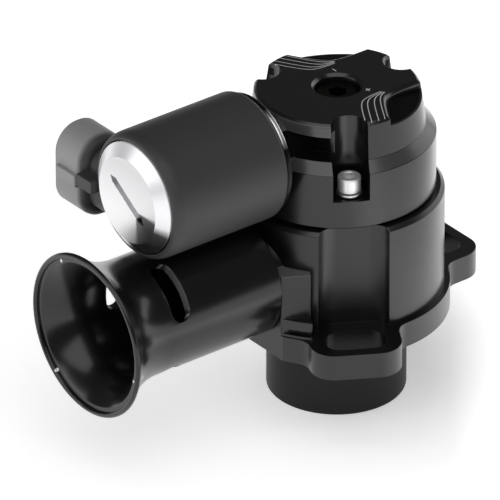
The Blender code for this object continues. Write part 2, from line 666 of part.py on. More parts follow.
def make_head(material):
    """Cap over the chamber, with the solenoid's boss on the trumpet's side."""
    head = add_object("head", turned([
        (0, REGISTER_BOTTOM),
        (REGISTER_RADIUS, REGISTER_BOTTOM),
        (REGISTER_RADIUS, HEAD_BOTTOM),
        (HEAD_RADIUS - EDGE_BREAK, HEAD_BOTTOM),
        (HEAD_RADIUS, HEAD_BOTTOM + EDGE_BREAK),
        (HEAD_RADIUS, HEAD_RING_TOP),
        (HEAD_SHOULDER_RADIUS, HEAD_RING_TOP + HEAD_SHOULDER_HEIGHT),
        (HEAD_RIM_RADIUS, HEAD_TOP - HEAD_CHAMFER),
        (HEAD_RIM_RADIUS - HEAD_CHAMFER, HEAD_TOP),
        (0, HEAD_TOP),
    ], LARGE_SIDES), material)
    third = 2 * math.pi / SCREW_COUNT
    undercut = turned([
        (UNDERCUT_RADIUS, HEAD_RING_TOP),
        (2 * HEAD_RADIUS, HEAD_RING_TOP),
        (2 * HEAD_RADIUS, HEAD_RING_TOP + UNDERCUT_HEIGHT),
        (UNDERCUT_RADIUS, HEAD_RING_TOP + UNDERCUT_HEIGHT),
    ], LARGE_SIDES // SCREW_COUNT, third, TRUMPET_SIDE - third / 2)
    cut(head, "undercut", undercut)
    boss = turned([
        (0, HEAD_BORE_RADIUS),
        (SOLENOID_BOSS_RADIUS, HEAD_BORE_RADIUS),
        (SOLENOID_BOSS_RADIUS, SOLENOID_BOSS_OUT),
        (0, SOLENOID_BOSS_OUT),
    ], MEDIUM_SIDES)
    join(head, "solenoid_boss", point_out(boss, SOLENOID_HEIGHT))
    above = HEAD_TOP + HEAD_ROOF_THICKNESS
    bore_start = HEAD_BOTTOM + HEAD_BORE_START
    taper = CHAMBER_RADIUS - HEAD_BORE_RADIUS
    cut(head, "head_bore", turned([
        (0, REGISTER_BOTTOM - HEAD_CHAMFER),
        (CHAMBER_RADIUS, REGISTER_BOTTOM - HEAD_CHAMFER),
        (CHAMBER_RADIUS, bore_start - taper),
        (HEAD_BORE_RADIUS, bore_start),
        (HEAD_BORE_RADIUS, ROOF_UNDERSIDE),
        (ADJUSTER_HOLE_RADIUS, ROOF_UNDERSIDE),
        (ADJUSTER_HOLE_RADIUS, HEAD_TOP - HEAD_CHAMFER),
        (ADJUSTER_HOLE_RADIUS + HEAD_CHAMFER, HEAD_TOP),
        (ADJUSTER_HOLE_RADIUS + HEAD_CHAMFER, above),
        (0, above),
    ], MEDIUM_SIDES))
    cut_screw_grooves(head, above)
    cut_top_pockets(head)
    keyway = block(
        (0, -KEYWAY_WIDTH / 2, bore_start),
        (HEAD_BORE_RADIUS + KEYWAY_DEPTH, KEYWAY_WIDTH / 2, ROOF_UNDERSIDE),
    )
    cut(head, "keyway", add_copies(bmesh.new(), keyway, around(1, third / 2)))
    core_hole = turned([
        (0, PORT_RADIUS),
        (ORIFICE_RADIUS, PORT_RADIUS),
        (ORIFICE_RADIUS, TUBE_HOLE_OUT),
        (CORE_CLEARANCE_RADIUS, TUBE_HOLE_OUT),
        (CORE_CLEARANCE_RADIUS, 2 * SOLENOID_BOSS_OUT),
        (0, 2 * SOLENOID_BOSS_OUT),
    ], MEDIUM_SIDES)
    cut(head, "core_tube_hole", point_out(core_hole, SOLENOID_HEIGHT))
    return head


def cut_screw_grooves(head, above):
    """A tool groove down to each screw's seat, open outward, and the screw's hole below it."""
    outline = arc((SCREW_CIRCLE_RADIUS, 0), GROOVE_RADIUS, math.pi / 2, 3 * math.pi / 2,
                  SMALL_SIDES)
    outline += [(2 * HEAD_RADIUS, -GROOVE_RADIUS), (2 * HEAD_RADIUS, GROOVE_RADIUS)]
    groove = prism(outline, GROOVE_FLOOR, above)
    cut(head, "screw_grooves", add_copies(bmesh.new(), groove, around(SCREW_COUNT)))
    hole = turned([
        (0, REGISTER_BOTTOM - HEAD_CHAMFER),
        (SCREW_HOLE_RADIUS, REGISTER_BOTTOM - HEAD_CHAMFER),
        (SCREW_HOLE_RADIUS, GROOVE_FLOOR + HEAD_CHAMFER),
        (0, GROOVE_FLOOR + HEAD_CHAMFER),
    ], SMALL_SIDES)
    bmesh.ops.translate(hole, verts=hole.verts, vec=(SCREW_CIRCLE_RADIUS, 0, 0))
    cut(head, "head_screw_holes", add_copies(bmesh.new(), hole, around(SCREW_COUNT)))


def hex_prism(radius, bottom, top):
    return prism(arc((0, 0), radius, 0, 5 * math.pi / 3, 5), bottom, top)


def make_screws(screw_finish, washer_finish):
    """Three socket head screws with washers, each standing in its groove."""
    for index in range(SCREW_COUNT):
        angle = 2 * math.pi * index / SCREW_COUNT
        place = Vector((math.cos(angle), math.sin(angle), 0)) * SCREW_CIRCLE_RADIUS
        screw = add_object(f"head_screw_{index + 1}", turned([
            (0, -SCREW_LENGTH),
            (SCREW_RADIUS - EDGE_BREAK, -SCREW_LENGTH),
            (SCREW_RADIUS, EDGE_BREAK - SCREW_LENGTH),
            (SCREW_RADIUS, 0),
            (SCREW_HEAD_RADIUS, 0),
            (SCREW_HEAD_RADIUS, SCREW_HEAD_HEIGHT - EDGE_BREAK),
            (SCREW_HEAD_RADIUS - EDGE_BREAK, SCREW_HEAD_HEIGHT),
            (0, SCREW_HEAD_HEIGHT),
        ], SMALL_SIDES), screw_finish)
        screw.location = place + Vector((0, 0, SCREW_HEAD_BOTTOM))
        tool = add_tool(f"screw_socket_{index + 1}", hex_prism(
            SCREW_SOCKET_RADIUS, SCREW_HEAD_HEIGHT - SCREW_SOCKET_DEPTH, 2 * SCREW_HEAD_HEIGHT
        ))
        tool.location = screw.location
        combine(screw, tool, "DIFFERENCE")
        washer = add_object(f"screw_washer_{index + 1}", turned([
            (SCREW_HOLE_RADIUS, 0),
            (WASHER_RADIUS, 0),
            (WASHER_RADIUS, WASHER_THICKNESS),
            (SCREW_HOLE_RADIUS, WASHER_THICKNESS),
        ], SMALL_SIDES), washer_finish)
        washer.location = place + Vector((0, 0, WASHER_BOTTOM))


def make_piston(material):
    """Cup that closes the inlet. Its origin is on its slide axis, at its underside."""
    top = PISTON_LENGTH
    groove = top - PISTON_RING_FROM_TOP
    half = PISTON_RING_SECTION + SEAT_GAP
    groove_floor = PISTON_RADIUS - 2 * PISTON_RING_SECTION
    piston = add_object("piston", turned([
        (0, 0),
        (PISTON_RADIUS - 2 * EDGE_BREAK, 0),
        (PISTON_RADIUS, 2 * EDGE_BREAK),
        (PISTON_RADIUS, groove - half),
        (groove_floor, groove - half),
        (groove_floor, groove + half),
        (PISTON_RADIUS, groove + half),
        (PISTON_RADIUS, top - EDGE_BREAK),
        (PISTON_RADIUS - EDGE_BREAK, top),
        (PISTON_BORE_RADIUS, top),
        (PISTON_BORE_RADIUS, PISTON_FLOOR),
        (0, PISTON_FLOOR),
    ], LARGE_SIDES), material)
    piston.location.z = PISTON_BOTTOM
    return piston


def make_adjuster(material):
    """Screw under the top, turned from outside, that moves the spring's seat."""
    nose_groove = ADJUSTER_NOSE_HEIGHT / 2 + SEAT_GAP
    half = ADJUSTER_RING_SECTION + SEAT_GAP
    groove_floor = ADJUSTER_NOSE_RADIUS - 2 * ADJUSTER_RING_SECTION - SLIDE_GAP / 2
    nose_top = ADJUSTER_NOSE_HEIGHT
    adjuster = add_object("preload_adjuster", turned([
        (0, -ADJUSTER_FLANGE_THICKNESS - ADJUSTER_SHANK_LENGTH),
        (ADJUSTER_SHANK_RADIUS, -ADJUSTER_FLANGE_THICKNESS - ADJUSTER_SHANK_LENGTH),
        (ADJUSTER_SHANK_RADIUS, -ADJUSTER_FLANGE_THICKNESS),
        (ADJUSTER_FLANGE_RADIUS, -ADJUSTER_FLANGE_THICKNESS),
        (ADJUSTER_FLANGE_RADIUS, 0),
        (ADJUSTER_NOSE_RADIUS, 0),
        (ADJUSTER_NOSE_RADIUS, nose_groove - half),
        (groove_floor, nose_groove - half),
        (groove_floor, nose_groove + half),
        (ADJUSTER_NOSE_RADIUS, nose_groove + half),
        (ADJUSTER_NOSE_RADIUS, nose_top - EDGE_BREAK),
        (ADJUSTER_NOSE_RADIUS - EDGE_BREAK, nose_top),
        (0, nose_top),
    ], MEDIUM_SIDES), material)
    adjuster.location.z = ADJUSTER_FLANGE_TOP
    tool = add_tool("adjuster_socket", hex_prism(
        ADJUSTER_SOCKET_RADIUS, nose_top - ADJUSTER_SOCKET_DEPTH, 2 * nose_top
    ))
    tool.location = adjuster.location
    combine(adjuster, tool, "DIFFERENCE")
    return nose_groove, groove_floor


def make_spring_seat(material):
    """Nut that carries the spring's upper end, kept from turning by a key."""
    bore = ADJUSTER_SHANK_RADIUS + SLIDE_GAP
    outer = HEAD_BORE_RADIUS - SLIDE_GAP
    seat = add_object("spring_seat", turned([
        (bore, -SPRING_SEAT_HUB_LENGTH),
        (SPRING_SEAT_HUB_RADIUS, -SPRING_SEAT_HUB_LENGTH),
        (SPRING_SEAT_HUB_RADIUS, 0),
        (outer, 0),
        (outer, SPRING_SEAT_THICKNESS),
        (bore, SPRING_SEAT_THICKNESS),
    ], MEDIUM_SIDES), material)
    seat.location.z = SPRING_SEAT_BOTTOM
    key_half = KEYWAY_WIDTH / 2 - SLIDE_GAP
    key = block(
        (SPRING_SEAT_HUB_RADIUS, -key_half, 0),
        (outer + KEYWAY_DEPTH, key_half, SPRING_SEAT_THICKNESS),
    )
    turns = around(1, math.pi / SCREW_COUNT)
    tool = add_tool("seat_key", add_copies(bmesh.new(), key, turns))
    tool.location = seat.location
    combine(seat, tool, "UNION")


def make_rings(material, adjuster_groove, adjuster_groove_floor):
    """Sealing rings, each in the gland of its own pieces."""
    body_ring_radius = (CHAMBER_RADIUS + REGISTER_RADIUS) / 2
    add_object("head_o_ring", ring(
        body_ring_radius, BODY_RING_SECTION,
        COUNTERBORE_FLOOR + SEAT_GAP + BODY_RING_SECTION,
    ), material)
    piston_ring = add_object("piston_o_ring", ring(
        PISTON_RADIUS - 2 * PISTON_RING_SECTION + SEAT_GAP + PISTON_RING_SECTION,
        PISTON_RING_SECTION - SEAT_GAP / 3, 0,
    ), material)
    piston_ring.location.z = PISTON_TOP - PISTON_RING_FROM_TOP
    adjuster_ring = add_object("adjuster_o_ring", ring(
        adjuster_groove_floor + SEAT_GAP / 2 + ADJUSTER_RING_SECTION,
        ADJUSTER_RING_SECTION, 0,
    ), material)
    adjuster_ring.location.z = ADJUSTER_FLANGE_TOP + adjuster_groove
    add_object("trumpet_o_ring", point_out(ring(
        TRUMPET_SPIGOT_RADIUS - TRUMPET_RING_SECTION + SEAT_GAP / 2,
        TRUMPET_RING_SECTION - SEAT_GAP / 2,
        TRUMPET_SHOULDER_OUT - TRUMPET_SPIGOT_LENGTH / 2,
    ), PORT_HEIGHT), material)


def make_main_spring(material):
    spring = add_object("main_spring", coil_spring(
        SPRING_RADIUS, SPRING_WIRE_RADIUS,
        PISTON_BOTTOM + PISTON_FLOOR + SEAT_GAP, SPRING_SEAT_BOTTOM - SEAT_GAP, SPRING_TURNS,
    ), material)
    return spring


def cover_profile():
    """Outside of the solenoid's cover as (radius, out)."""
    profile = [(0, COVER_OUT)]
    rear = COVER_RADIUS - COVER_REAR_ROUND
    profile += arc((rear, COVER_OUT + COVER_REAR_ROUND), COVER_REAR_ROUND, -math.pi / 2, 0)
    for step in range(2 * ARC_STEPS + 1):
        turn = math.pi / 2 * step / (2 * ARC_STEPS)
        radius = COVER_RADIUS - COVER_FRONT_RIM * (1 - math.cos(turn))
        profile.append((radius, COVER_END_OUT - COVER_FRONT_ROUND * (1 - math.sin(turn))))
    profile.append((0, COVER_END_OUT))
    return profile


def face_back(bm):
    """Stand a piece that was extruded up Z so that it is extruded along +Y, its y as height."""
    turn = Matrix(((1, 0, 0), (0, 0, 1), (0, 1, 0)))
    bmesh.ops.transform(bm, matrix=turn.to_4x4(), verts=bm.verts)
    return bm


def make_cover(material):
    """Moulded cover of the coil, with the plug socket on its far side."""
    cover = add_object(
        "solenoid_cover", point_out(turned(cover_profile(), MEDIUM_SIDES), SOLENOID_HEIGHT),
        material,
    )
    centre = (-SOCKET_OUT, SOCKET_HEIGHT)
    neck_start = YOKE_RADIUS + (COVER_RADIUS - YOKE_RADIUS) / 2
    neck = prism(
        rounded_rectangle(centre, NECK_WIDTH, NECK_LENGTH, NECK_WIDTH / 2 - EDGE_BREAK),
        0, SOCKET_BACK + SOCKET_FLOOR / 2,
    )
    join(cover, "socket_neck", face_back(neck))
    shroud = prism(
        rounded_rectangle(centre, SOCKET_WIDTH, SOCKET_LENGTH, SOCKET_WIDTH / 2 - EDGE_BREAK),
        SOCKET_BACK, SOCKET_MOUTH,
    )
    join(cover, "socket_shroud", face_back(shroud))
    left = -SOCKET_OUT - SOCKET_WIDTH / 2
    join(cover, "latch", block(
        (left - LATCH_PROUD, SOCKET_BACK, SOCKET_HEIGHT - LATCH_HEIGHT / 2),
        (left + SOCKET_WALL / 2, SOCKET_BACK + LATCH_WIDTH, SOCKET_HEIGHT + LATCH_HEIGHT / 2),
    ))
    bore = turned([
        (0, COVER_OUT - COVER_RADIUS),
        (YOKE_RADIUS + SLIDE_GAP, COVER_OUT - COVER_RADIUS),
        (YOKE_RADIUS + SLIDE_GAP, YOKE_FRONT_OUT),
        (END_CAP_RADIUS + SLIDE_GAP, YOKE_FRONT_OUT),
        (END_CAP_RADIUS + SLIDE_GAP, COVER_END_OUT + COVER_RADIUS),
        (0, COVER_END_OUT + COVER_RADIUS),
    ], MEDIUM_SIDES)
    cut(cover, "cover_bore", point_out(bore, SOLENOID_HEIGHT))
    inside = (SOCKET_WIDTH - 2 * SOCKET_WALL, SOCKET_LENGTH - 2 * SOCKET_WALL)
    cavity = prism(
        rounded_rectangle(centre, inside[0], inside[1], inside[0] / 2 - EDGE_BREAK),
        SOCKET_BACK + SOCKET_FLOOR, 2 * SOCKET_MOUTH,
    )
    cut(cover, "socket_cavity", face_back(cavity))
    pockets = bmesh.new()
    for low, high in terminal_boxes():
        gap = Vector((SLIDE_GAP, SEAT_GAP, SLIDE_GAP))
        add_copies(pockets, block(low - gap, high + gap), [Matrix.Identity(4)])
    cut(cover, "terminal_slots", pockets)
    return cover


def terminal_boxes():
    """Low and high corners of the two terminals."""
    boxes = []
    end = SOCKET_MOUTH - TERMINAL_RECESS
    for side in (-1, 1):
        middle = SOCKET_HEIGHT + side * TERMINAL_SPACING / 2
        low = Vector((-SOCKET_OUT - TERMINAL_WIDTH / 2, end - TERMINAL_LENGTH,
                      middle - TERMINAL_THICKNESS / 2))
        high = Vector((-SOCKET_OUT + TERMINAL_WIDTH / 2, end, middle + TERMINAL_THICKNESS / 2))
        boxes.append((low, high))
    return boxes


def make_terminals(material):
    for name, (low, high) in zip(("lower_terminal", "upper_terminal"), terminal_boxes()):
        add_object(name, block(low, high), material)


def make_end_cap(material):
    """Bright cap with a screwdriver slot, one piece with the fixed core behind it."""
    cap = add_object("solenoid_end_cap", point_out(turned([
        (0, FIXED_CORE_OUT),
        (FIXED_CORE_RADIUS, FIXED_CORE_OUT),
        (FIXED_CORE_RADIUS, END_CAP_BACK_OUT),
        (END_CAP_RADIUS, END_CAP_BACK_OUT),
        (END_CAP_RADIUS, END_CAP_FACE_OUT - END_CAP_BEVEL - EDGE_BREAK),
        (END_CAP_RADIUS - EDGE_BREAK, END_CAP_FACE_OUT - END_CAP_BEVEL),
        (END_CAP_FLAT_RADIUS, END_CAP_FACE_OUT),
        (0, END_CAP_FACE_OUT),
    ], MEDIUM_SIDES), SOLENOID_HEIGHT), material)
    point = END_SLOT_WIDTH * 1.5
    half = END_SLOT_LENGTH / 2
    width = END_SLOT_WIDTH / 2
    outline = [(half, 0), (half - point, width), (point - half, width), (-half, 0),
               (point - half, -width), (half - point, -width)]
    slot = prism(outline, END_CAP_FACE_OUT - END_SLOT_DEPTH, 2 * END_CAP_FACE_OUT)
    turn = Matrix.Rotation(math.pi / 2 + END_SLOT_ANGLE, 3, "Z")
    bmesh.ops.rotate(slot, verts=slot.verts, cent=(0, 0, 0), matrix=turn)
    cut(cap, "driver_slot", point_out(slot, SOLENOID_HEIGHT))
    return cap


def make_solenoid_core(finishes):
    """Yoke, rear plate, bobbin, winding and core tube, from outside in."""
    add_object("solenoid_rear_plate", point_out(turned([
        (CORE_CLEARANCE_RADIUS, REAR_PLATE_OUT),
        (REAR_PLATE_RADIUS, REAR_PLATE_OUT),
        (REAR_PLATE_RADIUS, REAR_PLATE_OUT + REAR_PLATE_THICKNESS),
        (CORE_CLEARANCE_RADIUS, REAR_PLATE_OUT + REAR_PLATE_THICKNESS),
    ], MEDIUM_SIDES), SOLENOID_HEIGHT), finishes["bright_steel"])
    yoke_bore = YOKE_RADIUS - YOKE_WALL
    add_object("solenoid_yoke", point_out(turned([
        (yoke_bore, COVER_OUT),
        (YOKE_RADIUS, COVER_OUT),
        (YOKE_RADIUS, YOKE_FRONT_OUT),
        (CORE_CLEARANCE_RADIUS, YOKE_FRONT_OUT),
        (CORE_CLEARANCE_RADIUS, YOKE_FRONT_OUT - YOKE_WALL),
        (yoke_bore, YOKE_FRONT_OUT - YOKE_WALL),
    ], MEDIUM_SIDES), SOLENOID_HEIGHT), finishes["plain_steel"])
    flange = yoke_bore - SLIDE_GAP
    add_object("coil_bobbin", point_out(turned([
        (CORE_CLEARANCE_RADIUS, BOBBIN_OUT),
        (flange, BOBBIN_OUT),
        (flange, BOBBIN_OUT + BOBBIN_FLANGE_THICKNESS),
        (BOBBIN_TUBE_RADIUS, BOBBIN_OUT + BOBBIN_FLANGE_THICKNESS),
        (BOBBIN_TUBE_RADIUS, BOBBIN_END_OUT - BOBBIN_FLANGE_THICKNESS),
        (flange, BOBBIN_END_OUT - BOBBIN_FLANGE_THICKNESS),
        (flange, BOBBIN_END_OUT),
        (CORE_CLEARANCE_RADIUS, BOBBIN_END_OUT),
    ], MEDIUM_SIDES), SOLENOID_HEIGHT), finishes["bobbin_plastic"])
    winding_start = BOBBIN_OUT + BOBBIN_FLANGE_THICKNESS + SEAT_GAP
    winding_end = BOBBIN_END_OUT - BOBBIN_FLANGE_THICKNESS - SEAT_GAP
    add_object("coil_winding", point_out(turned([
        (BOBBIN_TUBE_RADIUS + SLIDE_GAP, winding_start),
        (WINDING_RADIUS, winding_start),
        (WINDING_RADIUS, winding_end),
        (BOBBIN_TUBE_RADIUS + SLIDE_GAP, winding_end),
    ], MEDIUM_SIDES), SOLENOID_HEIGHT), finishes["copper"])
    groove_out = (TUBE_HOLE_OUT + SOLENOID_BOSS_OUT) / 2
    half = TUBE_RING_SECTION + SEAT_GAP / 2
    floor = CORE_TUBE_RADIUS - TUBE_RING_SECTION
    add_object("core_tube", point_out(turned([
        (CORE_TUBE_BORE, CORE_TUBE_OUT),
        (CORE_TUBE_RADIUS, CORE_TUBE_OUT),
        (CORE_TUBE_RADIUS, groove_out - half),
        (floor, groove_out - half),
        (floor, groove_out + half),
        (CORE_TUBE_RADIUS, groove_out + half),
        (CORE_TUBE_RADIUS, YOKE_FRONT_OUT),
        (CORE_TUBE_BORE, YOKE_FRONT_OUT),
    ], MEDIUM_SIDES), SOLENOID_HEIGHT), finishes["plain_steel"])
    ring_section = TUBE_RING_SECTION / 2
    add_object("core_tube_o_ring", point_out(ring(
        floor + SEAT_GAP / 2 + ring_section, ring_section, groove_out,
    ), SOLENOID_HEIGHT), finishes["rubber"])


def make_plunger(finishes):
    """Plunger with its rubber tip and return spring. It slides along -X."""
    recess = PLUNGER_SEAL_RADIUS + SLIDE_GAP
    seal_end = PLUNGER_SEAL_OUT + PLUNGER_SEAL_THICKNESS
    origin = Vector((-PLUNGER_NOSE_OUT, 0, SOLENOID_HEIGHT))
    plunger = add_object("solenoid_plunger", point_out(turned([
        (0, seal_end + SEAT_GAP - PLUNGER_NOSE_OUT),
        (recess, seal_end + SEAT_GAP - PLUNGER_NOSE_OUT),
        (recess, 0),
        (FIXED_CORE_RADIUS, 0),
        (FIXED_CORE_RADIUS, PLUNGER_FRONT_OUT - PLUNGER_NOSE_OUT),
        (PLUNGER_BORE_RADIUS, PLUNGER_FRONT_OUT - PLUNGER_NOSE_OUT),
        (PLUNGER_BORE_RADIUS, PLUNGER_BORE_OUT - PLUNGER_NOSE_OUT),
        (0, PLUNGER_BORE_OUT - PLUNGER_NOSE_OUT),
    ], SMALL_SIDES), 0), finishes["plain_steel"])
    plunger.location = origin
    seal = add_object("plunger_seal", point_out(turned([
        (0, PLUNGER_SEAL_OUT - PLUNGER_NOSE_OUT),
        (PLUNGER_SEAL_RADIUS, PLUNGER_SEAL_OUT - PLUNGER_NOSE_OUT),
        (PLUNGER_SEAL_RADIUS, seal_end - PLUNGER_NOSE_OUT),
        (0, seal_end - PLUNGER_NOSE_OUT),
    ], SMALL_SIDES), 0), finishes["rubber"])
    seal.location = origin
    add_object("plunger_spring", point_out(coil_spring(
        PLUNGER_SPRING_RADIUS, PLUNGER_WIRE_RADIUS,
        PLUNGER_BORE_OUT + SEAT_GAP, FIXED_CORE_OUT - SEAT_GAP, PLUNGER_SPRING_TURNS,
    ), SOLENOID_HEIGHT), finishes["spring_steel"])


def make_finishes():
    return {
        "black_anodised": finish("black_anodised", (0.012, 0.012, 0.013), 0.32, 0.6),
        "black_polished": finish("black_polished", (0.010, 0.010, 0.011), 0.22, 0.6),
        "bright_steel": finish("bright_steel", (0.72, 0.72, 0.73), 0.28, 1.0),
        "plain_steel": finish("plain_steel", (0.55, 0.55, 0.56), 0.35, 1.0),
        "spring_steel": finish("spring_steel", (0.45, 0.45, 0.47), 0.30, 1.0),
        "piston_alloy": finish("piston_alloy", (0.62, 0.62, 0.64), 0.30, 1.0),
        "brass": finish("brass", (0.72, 0.56, 0.28), 0.35, 1.0),
        "copper": finish("copper", (0.72, 0.34, 0.18), 0.40, 1.0),
        "cover_plastic": finish("cover_plastic", (0.035, 0.035, 0.037), 0.60, 0.0),
        "bobbin_plastic": finish("bobbin_plastic", (0.62, 0.60, 0.54), 0.50, 0.0),
        "rubber": finish("rubber", (0.02, 0.02, 0.02), 0.70, 0.0),
    }


def main():
    clear_scene()
    finishes = make_finishes()
    make_body(finishes["black_anodised"])
    make_trumpet(finishes["black_polished"])
    make_head(finishes["black_anodised"])
    make_screws(finishes["bright_steel"], finishes["bright_steel"])
    make_piston(finishes["piston_alloy"])
    adjuster_groove, adjuster_groove_floor = make_adjuster(finishes["brass"])
    make_spring_seat(finishes["piston_alloy"])
    make_main_spring(finishes["spring_steel"])
    make_rings(finishes["rubber"], adjuster_groove, adjuster_groove_floor)
    make_cover(finishes["cover_plastic"])
    make_terminals(finishes["brass"])
    make_end_cap(finishes["bright_steel"])
    make_solenoid_core(finishes)
    make_plunger(finishes)


main()
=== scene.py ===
import math

import bmesh
import bpy
from mathutils import Matrix, Vector


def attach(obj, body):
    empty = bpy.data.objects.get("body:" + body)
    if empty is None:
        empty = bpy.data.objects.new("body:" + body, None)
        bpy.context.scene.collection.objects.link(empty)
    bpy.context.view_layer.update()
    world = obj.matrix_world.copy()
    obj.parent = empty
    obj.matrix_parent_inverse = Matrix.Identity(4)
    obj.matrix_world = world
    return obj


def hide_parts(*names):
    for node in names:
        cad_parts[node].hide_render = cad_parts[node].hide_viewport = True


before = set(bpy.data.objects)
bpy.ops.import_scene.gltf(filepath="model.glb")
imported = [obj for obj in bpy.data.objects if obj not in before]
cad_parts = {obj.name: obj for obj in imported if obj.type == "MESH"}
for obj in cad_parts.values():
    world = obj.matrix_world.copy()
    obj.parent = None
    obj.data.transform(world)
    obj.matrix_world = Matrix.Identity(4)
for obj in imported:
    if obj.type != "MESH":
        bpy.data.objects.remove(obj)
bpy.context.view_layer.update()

# Lengths are in millimetres until a mesh is finished.
MM = 0.001
ROUND_STEPS = 288
TUBE_STEPS = 192
SMALL_STEPS = 64
PORT_HEIGHT = 38.5
SOLENOID_HEIGHT = 70.0
BODY_TOP = 53.5
HEAD_BOTTOM = 53.8
HEAD_TOP = 79.3
RING_TOP = 67.8
SHOULDER_TOP = 70.3
UNDERCUT_TOP = 76.1
BODY_RADIUS = 25.14
FLANGE_BOTTOM = 21.3
FLANGE_TOP = 27.8
FLANGE_RADIUS = 26.6
WIDE_FLANGE_RADIUS = 30.4
EAR_TIP = (30.5, 5.0)
EAR_RADIUS = 5.8
EAR_HOLLOW = 4.5
LEDGE_BOTTOM = 24.5
LEDGE_RADIUS = 30.0
LEDGE_GROOVE = (28.5, 29.9)
PAD_TOP = 43.4
PAD_FACE = 27.0
PAD_SIDE = 9.8
SCREW_CIRCLE = 18.9
PORT_BORE = 8.0
SPIGOT_RADIUS = 9.2
TUBE_OUTER = 14.37
TUBE_INNER = 11.87
FLARE_START = 60.0
FLARE_LENGTH = 13.2
FLARE_RISE = 5.69
# Middle of the plug socket, as (X, Z).
PLUG = (-53.6, 65.4)
THIRD = 2 * math.pi / 3
BLACK = (0.0042, 0.0042, 0.0044)
# Dots on the trumpet's flare, as (Y, height over its axis).
DOTS = ((9.8, 15.3), (11.5, -14.5), (-17.2, -4.4))
# Etched minus and plus, as (X, Y, half length along X, half length along Y).
MARKS = ((3.9, 6.1, 0.15, 0.7), (4.2, -6.1, 0.15, 0.65), (4.2, -6.1, 0.65, 0.15))
# Lowest point of each etched stripe, as (out from the axis, off the scoop's middle line).
STRIPES = ((11.25, 0.5), (10.4, 2.1), (9.3, 3.6), (8.25, 4.7))
# The camera was fitted to edges in the photo. Its aim is in metres.
AIM = (-0.01597, 0.01250, 0.03518)
DISTANCE = 2.786
AZIMUTH = math.radians(-38.05)
ELEVATION = math.radians(29.81)
# Glow of the floor, painted light that stands in for lamps: a painted shadow under the part's
# right side, the glow elsewhere, the glow far out, and a brighter glowing strip beside the part.
FLOOR_PAINTED_SHADOW = (0.34, 0.34, 0.34)
FLOOR_GLOW = (0.56, 0.56, 0.56)
FLOOR_FAR = (0.8, 0.8, 0.8)
FLOOR_GLOW_STRIP = (1.4, 1.4, 1.4)


def arc(centre, radius, first, last, steps=8):
    """Points of a round corner, from one angle in degrees to another."""
    points = []
    for step in range(steps + 1):
        turn = math.radians(first + (last - first) * step / steps)
        points.append((centre[0] + radius * math.cos(turn), centre[1] + radius * math.sin(turn)))
    return points


def lathe(profile, steps=ROUND_STEPS):
    """Spin a closed profile of (radius, height) points round Z, with flat ends if it is solid."""
    bm = bmesh.new()
    solid = profile[0][0] < 1e-6
    ring = [point for point in profile if point[0] > 1e-6]
    corners = [bm.verts.new((radius, 0, height)) for radius, height in ring]
    edges = [bm.edges.new(pair) for pair in zip(corners, corners[1:])]
    if not solid:
        edges.append(bm.edges.new((corners[-1], corners[0])))
    bmesh.ops.spin(bm, geom=corners + edges, cent=(0, 0, 0), axis=(0, 0, 1),
                   angle=2 * math.pi, steps=steps, use_merge=True)
    bmesh.ops.remove_doubles(bm, verts=bm.verts, dist=1e-5)
    if solid:
        bmesh.ops.holes_fill(bm, edges=[e for e in bm.edges if e.is_boundary], sides=0)
    bmesh.ops.recalc_face_normals(bm, faces=bm.faces)
    return bm


def lathe_sector(profile, first, last, steps):
    """Spin a closed profile through part of a turn, between two angles in degrees."""
    bm = bmesh.new()
    start = math.radians(first)
    corners = [bm.verts.new((r * math.cos(start), r * math.sin(start), z)) for r, z in profile]
    bmesh.ops.spin(bm, geom=[bm.faces.new(corners)], cent=(0, 0, 0), axis=(0, 0, 1),
                   angle=math.radians(last - first), steps=steps)
    bmesh.ops.recalc_face_normals(bm, faces=bm.faces)
    return bm


def plate(outline, bottom, top, lower_edge=0.0, upper_edge=0.0):
    """Extrude an outline up between two heights, with its bottom and top edges rounded."""
    bm = bmesh.new()
    face = bm.faces.new([bm.verts.new((x, y, bottom)) for x, y in outline])
    grown = bmesh.ops.extrude_face_region(bm, geom=[face])["geom"]
    lifted = [item for item in grown if isinstance(item, bmesh.types.BMVert)]
    bmesh.ops.translate(bm, verts=lifted, vec=(0, 0, top - bottom))
    bmesh.ops.recalc_face_normals(bm, faces=bm.faces)
    for height, edge in ((bottom, lower_edge), (top, upper_edge)):
        rims = [e for e in bm.edges if all(abs(v.co.z - height) < 1e-6 for v in e.verts)]
        if edge:
            bmesh.ops.bevel(bm, geom=rims, offset=edge, segments=4, profile=0.5,
                            affect="EDGES", material=-1, clamp_overlap=False)
    return bm


def box(low, high):
    bm = bmesh.new()
    bmesh.ops.create_cube(bm, size=1.0)
    low, high = Vector(low), Vector(high)
    bmesh.ops.scale(bm, verts=bm.verts, vec=high - low)
    bmesh.ops.translate(bm, verts=bm.verts, vec=(low + high) / 2)
    return bm


def moved(bm, matrix):
    bmesh.ops.transform(bm, matrix=matrix, verts=bm.verts)
    return bm


def copies(bm, matrices):
    """The same shape put in several places, as one mesh."""
    together = bmesh.new()
    mesh = bpy.data.meshes.new("copied")
    bm.to_mesh(mesh)
    bm.free()
    for matrix in matrices:
        part = mesh.copy()
        part.transform(matrix)
        together.from_mesh(part)
        bpy.data.meshes.remove(part)
    bpy.data.meshes.remove(mesh)
    return together


def thirds():
    return [Matrix.Rotation(THIRD * index, 4, "Z") for index in range(3)]


def laid_out(bm, height):
    """Lay a shape that was spun round Z along -X, at the given height."""
    turn = Matrix.Translation((0, 0, height)) @ Matrix.Rotation(-math.pi / 2, 4, "Y")
    return moved(bm, turn)


def stood_back(bm):
    """Turn a plate so that it runs along +Y, with its outline in X and Z."""
    return moved(bm, Matrix(((1, 0, 0, 0), (0, 0, 1, 0), (0, 1, 0, 0), (0, 0, 0, 1))))


